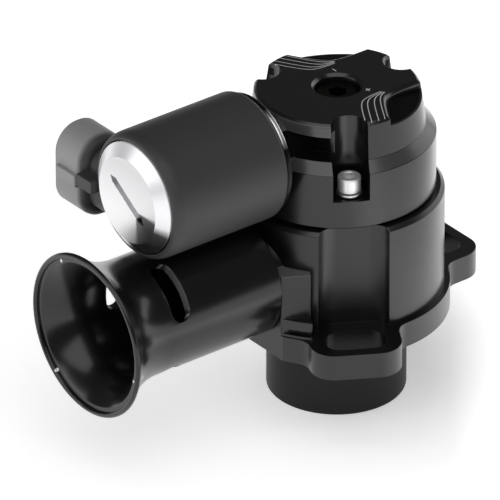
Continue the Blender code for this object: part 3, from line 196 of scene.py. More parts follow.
def combined(bm, tool, operation="DIFFERENCE", solver="EXACT"):
    """Cut a tool away from a shape, or join it on."""
    holders = []
    for shape in (bm, tool):
        bmesh.ops.recalc_face_normals(shape, faces=shape.faces)
        mesh = bpy.data.meshes.new("shape")
        shape.to_mesh(mesh)
        shape.free()
        holder = bpy.data.objects.new("shape", mesh)
        bpy.context.scene.collection.objects.link(holder)
        holders.append(holder)
    modifier = holders[0].modifiers.new("combine", "BOOLEAN")
    modifier.operation = operation
    modifier.solver = solver
    modifier.object = holders[1]
    result = bmesh.new()
    result.from_object(holders[0], bpy.context.evaluated_depsgraph_get())
    for holder in holders:
        mesh = holder.data
        bpy.data.objects.remove(holder)
        bpy.data.meshes.remove(mesh)
    bmesh.ops.remove_doubles(result, verts=result.verts, dist=1e-3)
    bmesh.ops.dissolve_degenerate(result, edges=result.edges, dist=1e-3)
    return result


def softened(bm, width, sharper_than=28.0, segments=2):
    """Break every sharp edge a little, as a deburred edge is."""
    limit = math.radians(sharper_than)
    sharp = [e for e in bm.edges if len(e.link_faces) == 2 and e.calc_face_angle(0) > limit]
    bmesh.ops.bevel(bm, geom=sharp, offset=width, segments=segments, profile=0.5,
                    affect="EDGES", material=-1, clamp_overlap=False)
    bmesh.ops.remove_doubles(bm, verts=bm.verts, dist=1e-3)
    return bm


def rounded_box(centre, width, height, radius, steps=8):
    """Outline of a rectangle with round corners, width along the first axis."""
    x = width / 2 - radius
    y = height / 2 - radius
    points = []
    for index, (side_x, side_y) in enumerate(((x, y), (-x, y), (-x, -y), (x, -y))):
        corner = (centre[0] + side_x, centre[1] + side_y)
        points += arc(corner, radius, index * 90, index * 90 + 90, steps)
    return points


def piece(name, bm, material, body, nodes, smooth=32.0):
    """Finish a mesh that was drawn in millimetres, and let it move with its body."""
    bmesh.ops.scale(bm, verts=bm.verts, vec=(MM, MM, MM))
    bmesh.ops.recalc_face_normals(bm, faces=bm.faces)
    if bm.calc_volume(signed=True) < 0:
        bmesh.ops.reverse_faces(bm, faces=bm.faces)
    mesh = bpy.data.meshes.new(name)
    bm.to_mesh(mesh)
    bm.free()
    mesh.materials.append(material)
    mesh.shade_smooth()
    mesh.set_sharp_from_angle(angle=math.radians(smooth))
    obj = bpy.data.objects.new(name, mesh)
    bpy.context.scene.collection.objects.link(obj)
    weigh = obj.modifiers.new("even_shading", "WEIGHTED_NORMAL")
    weigh.keep_sharp = True
    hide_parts(*nodes)
    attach(obj, body)


class Amount:
    """A number inside a material's nodes that can be reckoned with."""

    def __init__(self, tree, socket):
        self.tree = tree
        self.socket = socket

    def sum(self, operation, *others):
        node = self.tree.nodes.new("ShaderNodeMath")
        node.operation = operation
        for place, value in enumerate((self, *others)):
            if isinstance(value, Amount):
                self.tree.links.new(value.socket, node.inputs[place])
            else:
                node.inputs[place].default_value = value
        return Amount(self.tree, node.outputs[0])

    def __add__(self, other):
        return self.sum("ADD", other)

    def __sub__(self, other):
        return self.sum("SUBTRACT", other)

    def __mul__(self, other):
        return self.sum("MULTIPLY", other)

    def __truediv__(self, other):
        return self.sum("DIVIDE", other)

    def size(self):
        return self.sum("ABSOLUTE")

    def above(self, edge, soft):
        """0 below the edge and 1 above it, over a soft width."""
        return ((self - edge) / soft + 0.5).sum("MAXIMUM", 0.0).sum("MINIMUM", 1.0)

    def below(self, edge, soft):
        return ((self * -1.0 + edge) / soft + 0.5).sum("MAXIMUM", 0.0).sum("MINIMUM", 1.0)


def distance(first, second):
    """Distance from an axis, from the two places across it."""
    return (first * first + second * second).sum("SQRT")


class Finish:
    """A Principled material whose colour, roughness and relief vary over the piece."""

    def __init__(self, name, colour, roughness, metallic=0.0, specular=0.5, coat=0.0):
        self.material = bpy.data.materials.new(name)
        self.material.use_nodes = True
        self.tree = self.material.node_tree
        self.shader = self.tree.nodes["Principled BSDF"]
        self.shader.inputs["Base Color"].default_value = (*colour, 1.0)
        self.shader.inputs["Roughness"].default_value = roughness
        self.shader.inputs["Metallic"].default_value = metallic
        self.shader.inputs["Specular IOR Level"].default_value = specular
        self.shader.inputs["Coat Weight"].default_value = coat
        self.shader.inputs["Coat Roughness"].default_value = 0.08
        self.place = self.node("ShaderNodeTexCoord").outputs["Object"]
        split = self.node("ShaderNodeSeparateXYZ", Vector=self.place)
        self.x, self.y, self.z = (Amount(self.tree, split.outputs[i]) * 1000.0 for i in range(3))

    def node(self, kind, **inputs):
        made = self.tree.nodes.new(kind)
        for name, value in inputs.items():
            if isinstance(value, Amount):
                value = value.socket
            if isinstance(value, bpy.types.NodeSocket):
                self.tree.links.new(value, made.inputs[name])
            else:
                made.inputs[name].default_value = value
        return made

    def noise(self, scale, detail=3.0, stretch=None):
        place = self.place
        if stretch:
            place = self.node("ShaderNodeMapping", Vector=place, Scale=stretch).outputs[0]
        made = self.node("ShaderNodeTexNoise", Vector=place, Scale=scale, Detail=detail)
        return Amount(self.tree, made.outputs[0])

    def turned(self, angle):
        """Place out along a line at an angle round the valve's axis, and off that line."""
        out = self.x * math.cos(angle) + self.y * math.sin(angle)
        off = self.y * math.cos(angle) - self.x * math.sin(angle)
        return out, off

    def vary(self, name, value):
        self.tree.links.new(value.socket, self.shader.inputs[name])

    def blend(self, factor, first, second):
        """Colour that goes from the first to the second; either may be a colour or a blend."""
        made = self.tree.nodes.new("ShaderNodeMix")
        made.data_type = "RGBA"
        self.tree.links.new(factor.socket, made.inputs[0])
        for place, value in ((6, first), (7, second)):
            if isinstance(value, Amount):
                self.tree.links.new(value.socket, made.inputs[place])
            else:
                made.inputs[place].default_value = (*value, 1.0)
        return Amount(self.tree, made.outputs[2])

    def paint_shade_black(self, factor):
        """Mix in flat black as painted shade, where the factor says the surface lies in shade."""
        # Flat black sheet that stands in for shade.
        shade_black = self.node("ShaderNodeBsdfPrincipled")
        shade_black.inputs["Base Color"].default_value = (*BLACK, 1.0)
        shade_black.inputs["Roughness"].default_value = 0.6
        shade_black.inputs["Specular IOR Level"].default_value = 0.0
        mix = self.node("ShaderNodeMixShader")
        self.tree.links.new(factor.socket, mix.inputs[0])
        self.tree.links.new(self.shader.outputs[0], mix.inputs[1])
        self.tree.links.new(shade_black.outputs[0], mix.inputs[2])
        self.tree.links.new(mix.outputs[0], self.tree.nodes["Material Output"].inputs[0])

    def relief(self, height, depth):
        """Bump by a height in the range 0 to 1 that stands for a depth in millimetres."""
        bump = self.node("ShaderNodeBump", Height=height, Distance=depth * MM, Strength=1.0)
        self.tree.links.new(bump.outputs[0], self.shader.inputs["Normal"])


def anodised(name, roughness, turned_about="Z", specular=0.62):
    """Black anodised aluminium with faint tool marks round its turning axis."""
    finish = Finish(name, BLACK, roughness, specular=specular)
    cloud = finish.noise(160.0)
    marks = (1.0, 1.0, 60.0) if turned_about == "Z" else (60.0, 1.0, 1.0)
    lines = finish.noise(90.0, 2.0, marks)
    finish.vary("Roughness", cloud * 0.08 + lines * 0.05 + (roughness - 0.065))
    return finish


def plain(name, colour, roughness, metallic, grain=0.06, scale=300.0):
    finish = Finish(name, colour, roughness, metallic)
    finish.vary("Roughness", finish.noise(scale) * grain + (roughness - grain / 2))
    shade = tuple(channel * 0.8 for channel in colour)
    finish.vary("Base Color", finish.blend(finish.noise(scale / 3), shade, colour))
    return finish


def cap_finish():
    """The head's black, with four etched stripes beside each scoop and a minus and a plus, painted
    light on its shoulder and on the lip over the undercut, and painted shade in the undercut and
    on the scoop floors.
    """
    finish = anodised("head_black", 0.25)
    etched = None
    for side in (-1, 1):
        out, off = finish.turned(side * math.pi / 3)
        off = off * side
        for lowest, middle in STRIPES:
            gap = (off - middle) * 0.6
            line = out - (gap * gap + 2.25).sum("SQRT") - (lowest - 1.5)
            line = line.size().below(0.12, 0.05) * off.above(-0.9, 0.4)
            etched = line if etched is None else etched.sum("MAXIMUM", line)
    for x, y, half_x, half_y in MARKS:
        dash = (finish.x - x).size().below(half_x, 0.05)
        dash = dash * (finish.y - y).size().below(half_y, 0.05)
        etched = etched.sum("MAXIMUM", dash)
    etched = etched * finish.z.above(79.0, 0.1)
    reach = distance(finish.x, finish.y)
    # Painted light: the shoulder and the lip over the undercut get a paler black, for the light
    # that falls on them.
    painted_light_slope = finish.z.above(67.9, 0.1) * finish.z.below(70.25, 0.1) * reach.above(20.6, 0.1)
    painted_light_lip = finish.z.above(76.15, 0.1) * finish.x.below(-10.2, 0.1) * reach.above(19.2, 0.1)
    shade = finish.blend(painted_light_slope.sum("MAXIMUM", painted_light_lip), BLACK, (0.05, 0.05, 0.051))
    finish.vary("Base Color", finish.blend(etched, shade, (0.6, 0.6, 0.6)))
    # Painted shade: flat black in the undercut under the top and on the scoop floors, where shade
    # falls.
    recess = finish.z.above(70.4, 0.1) * finish.z.below(UNDERCUT_TOP, 0.1) * reach.below(24.5, 0.1)
    painted_shade = recess * finish.x.below(-9.9, 0.1)
    for index in (1, 2):
        _, off = finish.turned(THIRD * index)
        painted_shade = painted_shade * off.size().above(3.8, 0.6)
    for side in (-1, 1):
        out, _ = finish.turned(side * math.pi / 3)
        floor = out.above(12.2, 0.1) * finish.z.above(76.0, 0.1) * finish.z.below(77.95, 0.1)
        painted_shade = painted_shade.sum("MAXIMUM", floor * reach.below(19.2, 0.1) * 0.85)
    finish.paint_shade_black(painted_shade)
    return finish


def body_finish():
    """The body's black, with painted light on the pads' upper ledges and painted shade on the
    spigot and slot walls.
    """
    finish = anodised("body_black", 0.3)
    reach = distance(finish.x, finish.y)
    # Painted light: the top of each pad's upper ledge is made paler, as light falls on it.
    ledge = (finish.z - PAD_TOP).size().below(0.1, 0.05) * reach.above(25.3, 0.1)
    finish.vary("Base Color", finish.blend(ledge, BLACK, (0.12, 0.12, 0.12)))
    # Painted shade: flat black mixed in on the spigot and inside the ear slots, where shade falls.
    painted_shade = finish.z.below(21.2, 0.1) * 0.55
    for index in range(3):
        out, off = finish.turned(THIRD * index)
        slot = out.below(33.6, 0.1) * out.above(25.3, 0.1) * off.size().below(7.1, 0.1)
        painted_shade = painted_shade.sum("MAXIMUM", slot * finish.z.below(27.7, 0.1) * 0.6)
    finish.paint_shade_black(painted_shade)
    return finish


def disc_finish():
    """Turned steel with a painted reflection: a fan of light and dark painted into its colour,
    darker towards the top, and a paler, less mirror-like upper ring that reads bright.
    """
    finish = Finish("cap_steel_painted_fan", (0.8, 0.8, 0.82), 0.3, 1.0)
    up = finish.z - SOLENOID_HEIGHT
    reach = distance(finish.y, up)
    ring = reach.above(10.6, 0.1)
    # Painted reflection: dark fans of the surroundings, one on the flat and one on the ring.
    painted_darks = []
    for y, z, degrees, half in ((-3.3, -1.6, -137.0, 0.80), (0.0, 0.0, -123.0, 0.68)):
        angle = math.radians(degrees)
        off_y, off_z = finish.y - y, up - z
        along = off_y * math.cos(angle) + off_z * math.sin(angle)
        turn = (off_z * math.cos(angle) - off_y * math.sin(angle)).sum("ARCTAN2", along)
        painted_darks.append(turn.size().below(half, 0.2))
    dark = painted_darks[0] + (painted_darks[1] - painted_darks[0]) * ring
    # Painted light: the flat is darker towards the top, and the ring is paler.
    painted_tone = finish.blend(up.above(2.0, 12.0), (0.8, 0.8, 0.81), (0.6, 0.6, 0.61))
    painted_tone = finish.blend(ring, painted_tone, (0.88, 0.88, 0.9))
    painted_deep = finish.blend(turn.above(0.0, 0.9), (0.09, 0.09, 0.092), (0.3, 0.3, 0.3))
    finish.vary("Base Color", finish.blend(dark, painted_tone, painted_deep))
    # Painted light: the upper ring is made less mirror-like, so that it reads bright all round.
    finish.vary("Metallic", ring * up.above(-6.0, 6.0) * -0.6 + 1.0)
    rings = (reach * 24.0).sum("SINE") * 0.5 + 0.5
    finish.relief(rings * finish.noise(400.0), 0.003)
    finish.vary("Roughness", finish.noise(500.0) * 0.06 + 0.27)
    return finish


def bell_finish():
    """Polished black of the trumpet, with three small painted dots inside its lip."""
    finish = anodised("trumpet_black", 0.22, "X", 0.54)
    up = finish.z - PORT_HEIGHT
    dots = None
    for y, z in DOTS:
        off_y, off_z = finish.y - y, up - z
        dot = distance(off_y, off_z).below(0.42, 0.08)
        dots = dot if dots is None else dots.sum("MAXIMUM", dot)
    dots = dots * finish.x.below(-70.0, 0.1)
    finish.vary("Base Color", finish.blend(dots, BLACK, (0.75, 0.75, 0.75)))
    return finish


def moulded_finish():
    """Dark grey moulded plastic, paler and with an eroded grain on the plug socket."""
    finish = Finish("cover_plastic_fine", (0.034, 0.034, 0.035), 0.5, specular=0.4)
    grain = finish.noise(1900.0, 4.0)
    on_socket = finish.y.above(20.4, 1.6)
    finish.vary("Base Color", finish.blend(on_socket, (0.036, 0.036, 0.037), (0.26, 0.26, 0.264)))
    finish.relief(grain * (on_socket * 0.92 + 0.08), 0.07)
    finish.vary("Roughness", finish.noise(120.0) * 0.08 + 0.46)
    return finish


def rear_finish():
    """Steel of the rear plate, with a painted highlight on its upper front and painted shade, near
    black, everywhere else.
    """
    finish = Finish("rear_steel", (0.8, 0.8, 0.8), 0.3, 1.0)
    # Painted highlight on the upper front; the rest is painted near black as shade.
    upper = finish.z.above(77.5, 2.0) * finish.z.below(83.0, 1.5) * finish.y.below(0.0, 2.0)
    finish.vary("Base Color", finish.blend(upper, (0.02, 0.02, 0.02), (0.85, 0.85, 0.85)))
    finish.vary("Roughness", finish.noise(300.0) * 0.06 + 0.27)
    return finish


def flange_outline():
    """Round flange with three ears, wider on the trumpet's side between two of them."""
    tip = Vector(EAR_TIP)

    def root(radius):
        """Centre of the hollow that joins an ear's tip to the round edge, and its two bearings."""
        far, near = radius + EAR_HOLLOW, EAR_RADIUS + EAR_HOLLOW
        along = (tip.length ** 2 + far ** 2 - near ** 2) / (2 * tip.length)
        aside = math.sqrt(far ** 2 - along ** 2)
        unit = tip.normalized()
        middle = unit * along + Vector((-unit.y, unit.x)) * aside
        if middle.x < tip.x:
            middle = Vector((math.sqrt(far ** 2 - 15.3 ** 2), 15.3))
        on_edge = math.degrees(math.atan2(middle.y, middle.x))
        on_ear = math.degrees(math.atan2(middle.y - tip.y, max(middle.x - tip.x, 0.0)))
        return middle, on_edge, on_ear

    outline = []
    for index in range(3):
        before = WIDE_FLANGE_RADIUS if index == 2 else FLANGE_RADIUS
        after = WIDE_FLANGE_RADIUS if index == 1 else FLANGE_RADIUS
        middle, on_edge, on_ear = root(before)
        ear = arc((middle.x, -middle.y), EAR_HOLLOW, 180 - on_edge, 180 - on_ear, 12)
        ear += arc((tip.x, -tip.y), EAR_RADIUS, -on_ear, 0, 12)
        middle, on_edge, on_ear = root(after)
        ear += arc(tip, EAR_RADIUS, 0, on_ear, 12)
        ear += arc(middle, EAR_HOLLOW, on_ear - 180, on_edge - 180, 12)
        ear += arc((0, 0), after, on_edge, 120 - on_edge, 40)[1:-1]
        turn = Matrix.Rotation(THIRD * index, 2)
        outline += [tuple(turn @ Vector(point)) for point in ear]
    return outline


def beside_ear(u, v, side):
    """Place u out towards an ear beside the trumpet and v off that line, on the trumpet's side."""
    angle = side * THIRD
    outward = Vector((math.cos(angle), math.sin(angle)))
    across = Vector((math.cos(angle + side * math.pi / 2), math.sin(angle + side * math.pi / 2)))
    return tuple(outward * u + across * v)


def port_block():
    """Block behind the trumpet with a flat pad on each side, on a ledge with a groove."""
    edge_angle = 120 + math.degrees(math.asin(PAD_SIDE / LEDGE_RADIUS))
    roots = [beside_ear(17.3, PAD_SIDE, side) for side in (-1, 1)]
    ledge = arc((0, 0), LEDGE_RADIUS, edge_angle, 360 - edge_angle, 90) + roots
    shape = plate(ledge, LEDGE_BOTTOM, 32.3)
    low, high = LEDGE_GROOVE
    shape = combined(shape, lathe([(28.6, low), (60, low), (60, high), (28.6, high)]))
    front = (50.0 - PAD_FACE) * math.tan(math.pi / 6)
    outline = [(-PAD_FACE, front), (-PAD_FACE, -front), beside_ear(25.0, PAD_SIDE, -1)]
    outline += roots + [beside_ear(25.0, PAD_SIDE, 1)]
    return combined(shape, plate(outline, LEDGE_BOTTOM, PAD_TOP), "UNION")


def make_body(finish):
    shape = lathe(
        [(0, 0)] + arc((16.0, 0.5), 0.5, -90, 0, 4)
        + [(16.5, LEDGE_BOTTOM), (BODY_RADIUS, LEDGE_BOTTOM), (BODY_RADIUS, BODY_TOP - 0.9)]
        + [(BODY_RADIUS - 0.9, BODY_TOP), (0, BODY_TOP)]
    )
    shape = combined(shape, plate(flange_outline(), FLANGE_BOTTOM, FLANGE_TOP), "UNION")
    shape = combined(shape, port_block(), "UNION")
    boss = laid_out(lathe([(0, 16.0), (10.6, 16.0), (10.6, 27.0), (0, 27.0)], TUBE_STEPS),
                    PORT_HEIGHT)
    shape = combined(shape, boss, "UNION")
    shape = combined(shape, box((-80, -40, 10), (-PAD_FACE, 40, 60)))
    slot = plate(rounded_box((29.5, 0), 8.0, 14.0, 3.3), 15, 29.5)
    shape = combined(shape, copies(slot, thirds()))
    pocket = plate(rounded_box((36.1, 0.6), 30, 18.4, 5.5, 16), FLANGE_TOP, 60)
    shape = combined(shape, copies(pocket, thirds()))
    chamber = lathe([
        (0, 60), (17.6, 60), (17.6, 49.6), (13.6, 49.6), (13.6, 26.0), (11.5, 26.0),
        (11.5, 0.8), (12.3, 0), (12.3, -5), (0, -5),
    ])
    shape = combined(shape, chamber)
    port = lathe([(0, 4), (PORT_BORE, 4), (PORT_BORE, 18.6), (9.5, 18.6), (9.5, 60), (0, 60)],
                 TUBE_STEPS)
    shape = combined(shape, laid_out(port, PORT_HEIGHT))
    hole = moved(lathe([(0, 47), (1.55, 47.6), (1.55, 60), (0, 60)], SMALL_STEPS),
                 Matrix.Translation((SCREW_CIRCLE, 0, 0)))
    shape = combined(shape, copies(hole, thirds()))
    # The cuts leave edges of a few hundredths, which would fold under the softened edges.
    bmesh.ops.dissolve_degenerate(shape, edges=shape.edges, dist=0.04)
    piece("body_fine", softened(shape, 0.13), finish.material, "housing",
          ["body"])


def scoop():
    """Cutter of a top scoop, on +X: its floor falls outward and its upper edge is round."""
    edge = []
    for step in range(-60, 61):
        off = 12.5 * step / 60
        edge.append((12.85 + math.sqrt(3.6 + 0.36 * off * off) - 1.9, off))
    cutter = plate(edge + [(46, 12.5), (46, -12.5)], HEAD_TOP - 1.4, HEAD_TOP - 1.2)
    for vert in cutter.verts:
        if vert.co.z < HEAD_TOP - 1.3:
            vert.co.z -= 1.2 * (vert.co.x - 12.5) / 6.95
    top = [f for f in cutter.faces
           if f.normal.z > 0.9 and f.calc_center_median().z > HEAD_TOP - 1.3]
    turned = 0.0
    for degrees in (15, 30, 45, 60, 75, 90, 91):
        angle = math.radians(min(degrees, 90))
        grown = bmesh.ops.extrude_face_region(cutter, geom=top)["geom"]
        bmesh.ops.delete(cutter, geom=top, context="FACES_ONLY")
        top = [item for item in grown if isinstance(item, bmesh.types.BMFace)]
        lifted = [item for item in grown if isinstance(item, bmesh.types.BMVert)]
        rise = 1.2 * (math.sin(angle) - math.sin(turned)) if degrees < 91 else 4.0
        inward = 1.2 * (math.cos(angle) - math.cos(turned))
        bmesh.ops.translate(cutter, verts=lifted, vec=(inward, 0, rise))
        turned = angle
    return cutter


def make_head(finish):
    shape = lathe(
        [(0, 51.6), (17.3, 51.6), (17.3, HEAD_BOTTOM), (22.7, HEAD_BOTTOM)]
        + [(23.1, HEAD_BOTTOM + 0.4), (23.1, RING_TOP), (20.65, SHOULDER_TOP)]
        + [(19.45, HEAD_TOP - 0.75), (18.7, HEAD_TOP), (0, HEAD_TOP)]
    )
    undercut = [(16, SHOULDER_TOP), (50, SHOULDER_TOP), (50, UNDERCUT_TOP), (16, UNDERCUT_TOP)]
    shape = combined(shape, lathe_sector(undercut, 120, 240, 96))
    boss = lathe([(0, 11.6), (8.0, 11.6), (8.0, 24.4), (0, 24.4)], TUBE_STEPS)
    shape = combined(shape, laid_out(boss, SOLENOID_HEIGHT), "UNION")
    bore = lathe([
        (0, 50), (13.6, 50), (13.6, 59.6), (11.6, 61.6), (11.6, 74.3), (5.3, 74.3),
        (5.3, 78.55), (6.05, HEAD_TOP), (6.05, 84), (0, 84),
    ])
    shape = combined(shape, bore)
    groove = plate(arc((SCREW_CIRCLE, 0), 4.3, 90, 270, 48) + [(46, -4.3), (46, 4.3)], 61.0, 84)
    shape = combined(shape, copies(groove, thirds()))
    hole = moved(lathe([(0, 50), (1.65, 50), (1.65, 62), (0, 62)], SMALL_STEPS),
                 Matrix.Translation((SCREW_CIRCLE, 0, 0)))
    shape = combined(shape, copies(hole, thirds()))
    turns = [Matrix.Rotation(side * math.pi / 3, 4, "Z") for side in (-1, 1)]
    shape = combined(shape, copies(scoop(), turns))
    core = lathe([(0, 8), (1.2, 8), (1.2, 16.7), (5.8, 16.7), (5.8, 50), (0, 50)], SMALL_STEPS)
    shape = combined(shape, laid_out(core, SOLENOID_HEIGHT))
    piece("head_fine", softened(shape, 0.08), finish.material, "housing",
          ["head"])


def bell_profile():
    """Half section of the trumpet as (radius, out)."""
    outer_bend = (FLARE_LENGTH ** 2 + FLARE_RISE ** 2) / (2 * FLARE_RISE)
    profile = [(PORT_BORE, 18.9), (SPIGOT_RADIUS, 18.9), (SPIGOT_RADIUS, 22.4), (8.6, 22.4)]
    profile += [(8.6, 23.8), (SPIGOT_RADIUS, 23.8), (SPIGOT_RADIUS, 27.3), (14.07, 27.3)]
    profile += arc((13.97, 27.7), 0.4, -45, 0, 3)
    for step in range(33):
        along = FLARE_LENGTH * step / 32
        rise = outer_bend - math.sqrt(outer_bend ** 2 - along ** 2)
        if along < 12.6:
            profile.append((TUBE_OUTER + rise, FLARE_START + along))
    profile += arc((19.36, 73.5), 0.7, -20, 200, 14)
    for step in range(40, -1, -1):
        along = 17.5 * step / 40
        if along < 17.0:
            profile.append((TUBE_INNER + 6.93 * (along / 17.5) ** 3.2, 56.7 + along))
    profile += [(TUBE_INNER, 35.04), (PORT_BORE, 31.17)]
    return profile


def make_trumpet(finish):
    shape = laid_out(lathe(bell_profile()), PORT_HEIGHT)
    length = 2 * TUBE_OUTER * math.sin(math.radians(31.0))
    slot = plate(rounded_box((56.1, 0), 5.2, length, 2.57, 16), 6.0, 28.0)
    turns = []
    for index in range(3):
        rise = math.radians(46.0) + THIRD * index
        turns.append(Matrix.Translation((0, 0, PORT_HEIGHT))
                     @ Matrix.Rotation(math.pi / 2 - rise, 4, "X")
                     @ Matrix.Rotation(math.pi, 4, "Z"))
    shape = combined(shape, copies(slot, turns))
    piece("trumpet_fine", softened(shape, 0.15, 40.0), finish.material, "housing",
          ["trumpet"])


def make_port_ring(finish):
    ring = laid_out(lathe(arc((9.05, 23.1), 0.4, 0, 345, 23), TUBE_STEPS), PORT_HEIGHT)
    piece("trumpet_ring_fine", ring, finish.material, "housing",
          ["trumpet_o_ring"])


def make_screws(steel, washer_steel):
    for index in range(3):
        place = Matrix.Translation((SCREW_CIRCLE, 0, 62.2))
        turn = Matrix.Rotation(THIRD * index, 4, "Z") @ place
        profile = [(0, -14.0), (0.95, -14.0), (1.35, -13.6), (1.35, 0), (2.6, 0), (2.75, 0.15)]
        profile += [(2.75, 3.1)] + arc((2.35, 3.2), 0.4, 0, 90, 5) + [(1.75, 3.6), (1.55, 3.45)]
        shape = lathe(profile + [(0, 3.45)], SMALL_STEPS)
        socket = plate(arc((0, 0), 1.45, 0, 300, 5), 1.8, 8.0)
        shape = combined(shape, socket)
        piece(f"screw_{index + 1}_fine", moved(shape, turn), steel.material, "housing",
              [f"head_screw_{index + 1}"])
        washer = softened(lathe([(1.65, -0.9), (3.1, -0.9), (3.1, -0.3), (1.65, -0.3)],
                                SMALL_STEPS), 0.1)
        piece(f"washer_{index + 1}_fine", moved(washer, turn), washer_steel.material,
              "housing", [f"screw_washer_{index + 1}"])


def make_cover(finish):
    profile = [(0, 26.2)] + arc((14.36, 27.4), 1.2, -90, 0, 8)
    for step in range(17):
        turn = math.pi / 2 * step / 16
        profile.append((15.56 - 1.55 * (1 - math.cos(turn)), 59.3 - 3.3 * (1 - math.sin(turn))))
    shape = laid_out(lathe(profile + [(0, 59.3)]), SOLENOID_HEIGHT)
    neck = stood_back(plate(rounded_box(PLUG, 9.2, 15.6, 4.2, 12), 0, 21.1))
    shroud = stood_back(plate(rounded_box(PLUG, 13.2, 20.9, 6.2, 16), 18.4, 29.1, 2.2, 0.7))
    latch = softened(box((-61.1, 20.2, 64.0), (-56.0, 28.0, 67.0)), 0.2)
    arm = softened(box((-61.6, 13.6, 65.3), (-56.0, 19.4, 68.6)), 0.2)
    for added in (neck, shroud, latch, arm):
        shape = combined(shape, added, "UNION", "MANIFOLD")
    bore = lathe([(0, 10), (13.2, 10), (13.2, 55.6), (13.9, 55.6), (13.9, 75), (0, 75)])
    cuts = [laid_out(bore, SOLENOID_HEIGHT)]
    cuts.append(stood_back(plate(rounded_box(PLUG, 10.2, 17.9, 4.7, 12), 21.8, 60)))
    # The terminals pass through these slits in the socket's floor.
    for middle in (62.4, 70.4):
        cuts.append(box((-55.3, 15.2, middle - 0.7), (-51.9, 27.8, middle + 0.7)))
    for cut in cuts:
        shape = combined(shape, cut, "DIFFERENCE", "MANIFOLD")
    piece("cover_fine", softened(shape, 0.15), finish.material, "housing",
          ["solenoid_cover"])


def make_end_cap(finish):
    """Bright cap: a raised flat with a driver slot, inside a sloping ring."""
    profile = [(0, 45.9), (4.4, 45.9), (4.4, 55.9), (13.6, 55.9), (13.6, 59.3)]
    profile += arc((13.35, 59.4), 0.25, 0, 57, 4) + [(10.68, 61.54), (10.55, 61.6), (0, 61.6)]
    shape = laid_out(lathe(profile), SOLENOID_HEIGHT)
    outline = [(7.5, 0), (5.9, 0.95), (-5.9, 0.95), (-7.5, 0), (-5.9, -0.95), (5.9, -0.95)]
    slot = plate(outline, 60.0, 80.0)
    moved(slot, Matrix.Rotation(math.pi / 2 - math.radians(33.6), 4, "Z"))
    shape = combined(shape, laid_out(slot, SOLENOID_HEIGHT), "DIFFERENCE", "MANIFOLD")
    piece("end_cap_fine", softened(shape, 0.1, 40.0), finish.material, "housing",
          ["solenoid_end_cap"], 20.0)


def make_rear_plate(finish):
    shape = softened(lathe([(5.8, 24.7), (14.6, 24.7), (14.6, 25.9), (5.8, 25.9)]), 0.2)
    piece("rear_plate_fine", laid_out(shape, SOLENOID_HEIGHT), finish.material,
          "housing", ["solenoid_rear_plate"])


def make_piston(finish):
    profile = [(0, 26.3), (12.5, 26.3), (13.3, 27.1), (13.3, 44.4), (11.9, 44.4), (11.9, 46.4),
               (13.3, 46.4), (13.3, 47.6), (12.9, 48.0), (10.6, 48.0), (10.6, 29.3), (0, 29.3)]
    piece("piston_fine", softened(lathe(profile), 0.12), finish.material, "piston",
          ["piston"])


def make_adjuster(finish):
    profile = [(0, 62.8), (3.6, 62.8), (3.6, 71.6), (8.0, 71.6), (8.0, 74.0), (5.0, 74.0)]
    profile += [(5.0, 75.3), (3.85, 75.3), (3.85, 76.9), (5.0, 76.9), (5.0, 77.2), (4.6, 77.6)]
    shape = lathe(profile + [(0, 77.6)])
    shape = combined(shape, plate(arc((0, 0), 2.3, 0, 300, 5), 74.6, 90))
    piece("adjuster_fine", softened(shape, 0.1), finish.material, "adjuster",
          ["preload_adjuster"])


def kept_nodes(rubber):
    """Finishes for the inner pieces that keep their CAD shape."""
    steel = plain("inner_steel", (0.55, 0.55, 0.56), 0.32, 1.0)
    spring = plain("spring_wire", (0.45, 0.45, 0.47), 0.28, 1.0)
    copper = plain("winding_copper", (0.72, 0.34, 0.18), 0.38, 1.0)
    natural = plain("bobbin_natural", (0.62, 0.60, 0.54), 0.5, 0.0)
    brass = plain("contact_brass", (0.72, 0.56, 0.28), 0.3, 1.0)
    alloy = plain("seat_alloy", (0.62, 0.62, 0.64), 0.3, 1.0)
    wear = {
        "piston_o_ring": rubber, "adjuster_o_ring": rubber, "head_o_ring": rubber,
        "core_tube_o_ring": rubber, "plunger_seal": rubber,
        "solenoid_yoke": steel, "core_tube": steel, "solenoid_plunger": steel,
        "main_spring": spring, "plunger_spring": spring, "coil_winding": copper,
        "coil_bobbin": natural, "lower_terminal": brass, "upper_terminal": brass,
        "spring_seat": alloy,
    }
    for node, finish in wear.items():
        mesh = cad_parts[node].data
        mesh.materials.clear()
        mesh.materials.append(finish.material)


def make_floor():
    """Pale floor that also glows as painted light, with a painted shadow under the part's right
    side and a brighter strip beside it: it is what the black flanks and the bright rims mirror.
    """
    bm = bmesh.new()
    bmesh.ops.create_grid(bm, x_segments=1, y_segments=1, size=6.0)
    mesh = bpy.data.meshes.new("floor")
    bm.to_mesh(mesh)
    bm.free()
    finish = Finish("pale_floor", (0.9, 0.9, 0.9), 0.6, specular=0.1)
    finish.vary("Roughness", finish.noise(3.0) * 0.1 + 0.55)
    across = finish.x * 0.79 - finish.y * 0.62
    reach = distance(finish.x, finish.y)
    # Painted shadow: less glow under the part's right side; painted light: a brighter glowing
    # strip beside it.
    under = across.above(0.0, 40.0) * reach.below(38.0, 30.0)
    near = finish.blend(under, FLOOR_GLOW, FLOOR_PAINTED_SHADOW)
    strip = across.above(50.0, 46.0) * across.below(105.0, 50.0)
    far = finish.blend(reach.above(170.0, 100.0), near, FLOOR_FAR)
    finish.vary("Emission Color", finish.blend(strip, far, FLOOR_GLOW_STRIP))
    finish.shader.inputs["Emission Strength"].default_value = 1.0
    mesh.materials.append(finish.material)
    floor = bpy.data.objects.new("floor", mesh)
    bpy.context.scene.collection.objects.link(floor)


def make_light(name, place, aim, width, height, power):
    data = bpy.data.lights.new(name, "AREA")
    data.shape = "RECTANGLE"
    data.size = width
    data.size_y = height
    data.energy = power
    light = bpy.data.objects.new(name, data)
    light.location = place
    light.rotation_euler = (Vector(aim) - Vector(place)).to_track_quat("-Z", "Y").to_euler()
    bpy.context.scene.collection.objects.link(light)


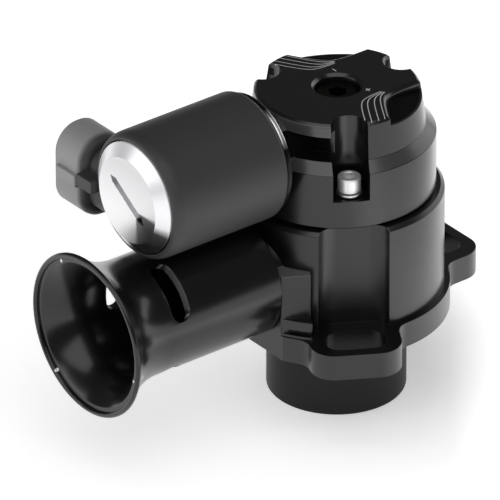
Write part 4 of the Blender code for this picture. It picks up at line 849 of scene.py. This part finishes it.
def make_studio():
    world = bpy.data.worlds.new("studio")
    world.use_nodes = True
    background = world.node_tree.nodes["Background"]
    background.inputs[0].default_value = (1.0, 1.0, 1.0, 1.0)
    background.inputs[1].default_value = 0.1
    bpy.context.scene.world = world
    make_floor()
    middle = (-0.016, 0.0, 0.04)
    make_light("front", (-0.45, -0.65, 1.25), middle, 1.8, 1.4, 11.0)
    make_light("left", (-1.1, 0.35, 0.5), middle, 1.0, 0.6, 4.0)
    make_light("right", (1.0, 0.1, 0.4), middle, 1.1, 0.6, 3.0)


def make_camera():
    back = Vector((math.sin(AZIMUTH) * math.cos(ELEVATION),
                   -math.cos(AZIMUTH) * math.cos(ELEVATION), math.sin(ELEVATION)))
    data = bpy.data.cameras.new("camera")
    data.sensor_width = 36.0
    data.lens = 858.0
    data.clip_end = 50.0
    camera = bpy.data.objects.new("camera", data)
    camera.location = Vector(AIM) + back * DISTANCE
    camera.rotation_mode = "QUATERNION"
    camera.rotation_quaternion = (-back).to_track_quat("-Z", "Y")
    bpy.context.scene.collection.objects.link(camera)
    bpy.context.scene.camera = camera
    bpy.context.scene.view_settings.view_transform = "Standard"


make_camera()
make_studio()
bright = plain("bright_steel_fine", (0.88, 0.88, 0.89), 0.3, 1.0)
screw_steel = plain("knurled_screw", (0.95, 0.95, 0.96), 0.4, 0.75)
knurl = screw_steel.noise(2600.0, 1.0, (1.0, 1.0, 0.02)) * screw_steel.z.below(65.2, 0.1)
screw_steel.relief(knurl * screw_steel.z.above(62.7, 0.1), 0.12)
make_body(body_finish())
make_head(cap_finish())
make_trumpet(bell_finish())
make_screws(screw_steel, bright)
make_cover(moulded_finish())
make_end_cap(disc_finish())
make_rear_plate(rear_finish())
make_piston(plain("piston_metal", (0.62, 0.62, 0.64), 0.28, 1.0))
# Near-black metal for the adjuster, which sits deep in its hole.
make_adjuster(plain("near_black_adjuster", (0.012, 0.010, 0.008), 0.4, 1.0))
rubber = plain("seal_rubber", (0.02, 0.02, 0.02), 0.6, 0.0)
make_port_ring(rubber)
kept_nodes(rubber)
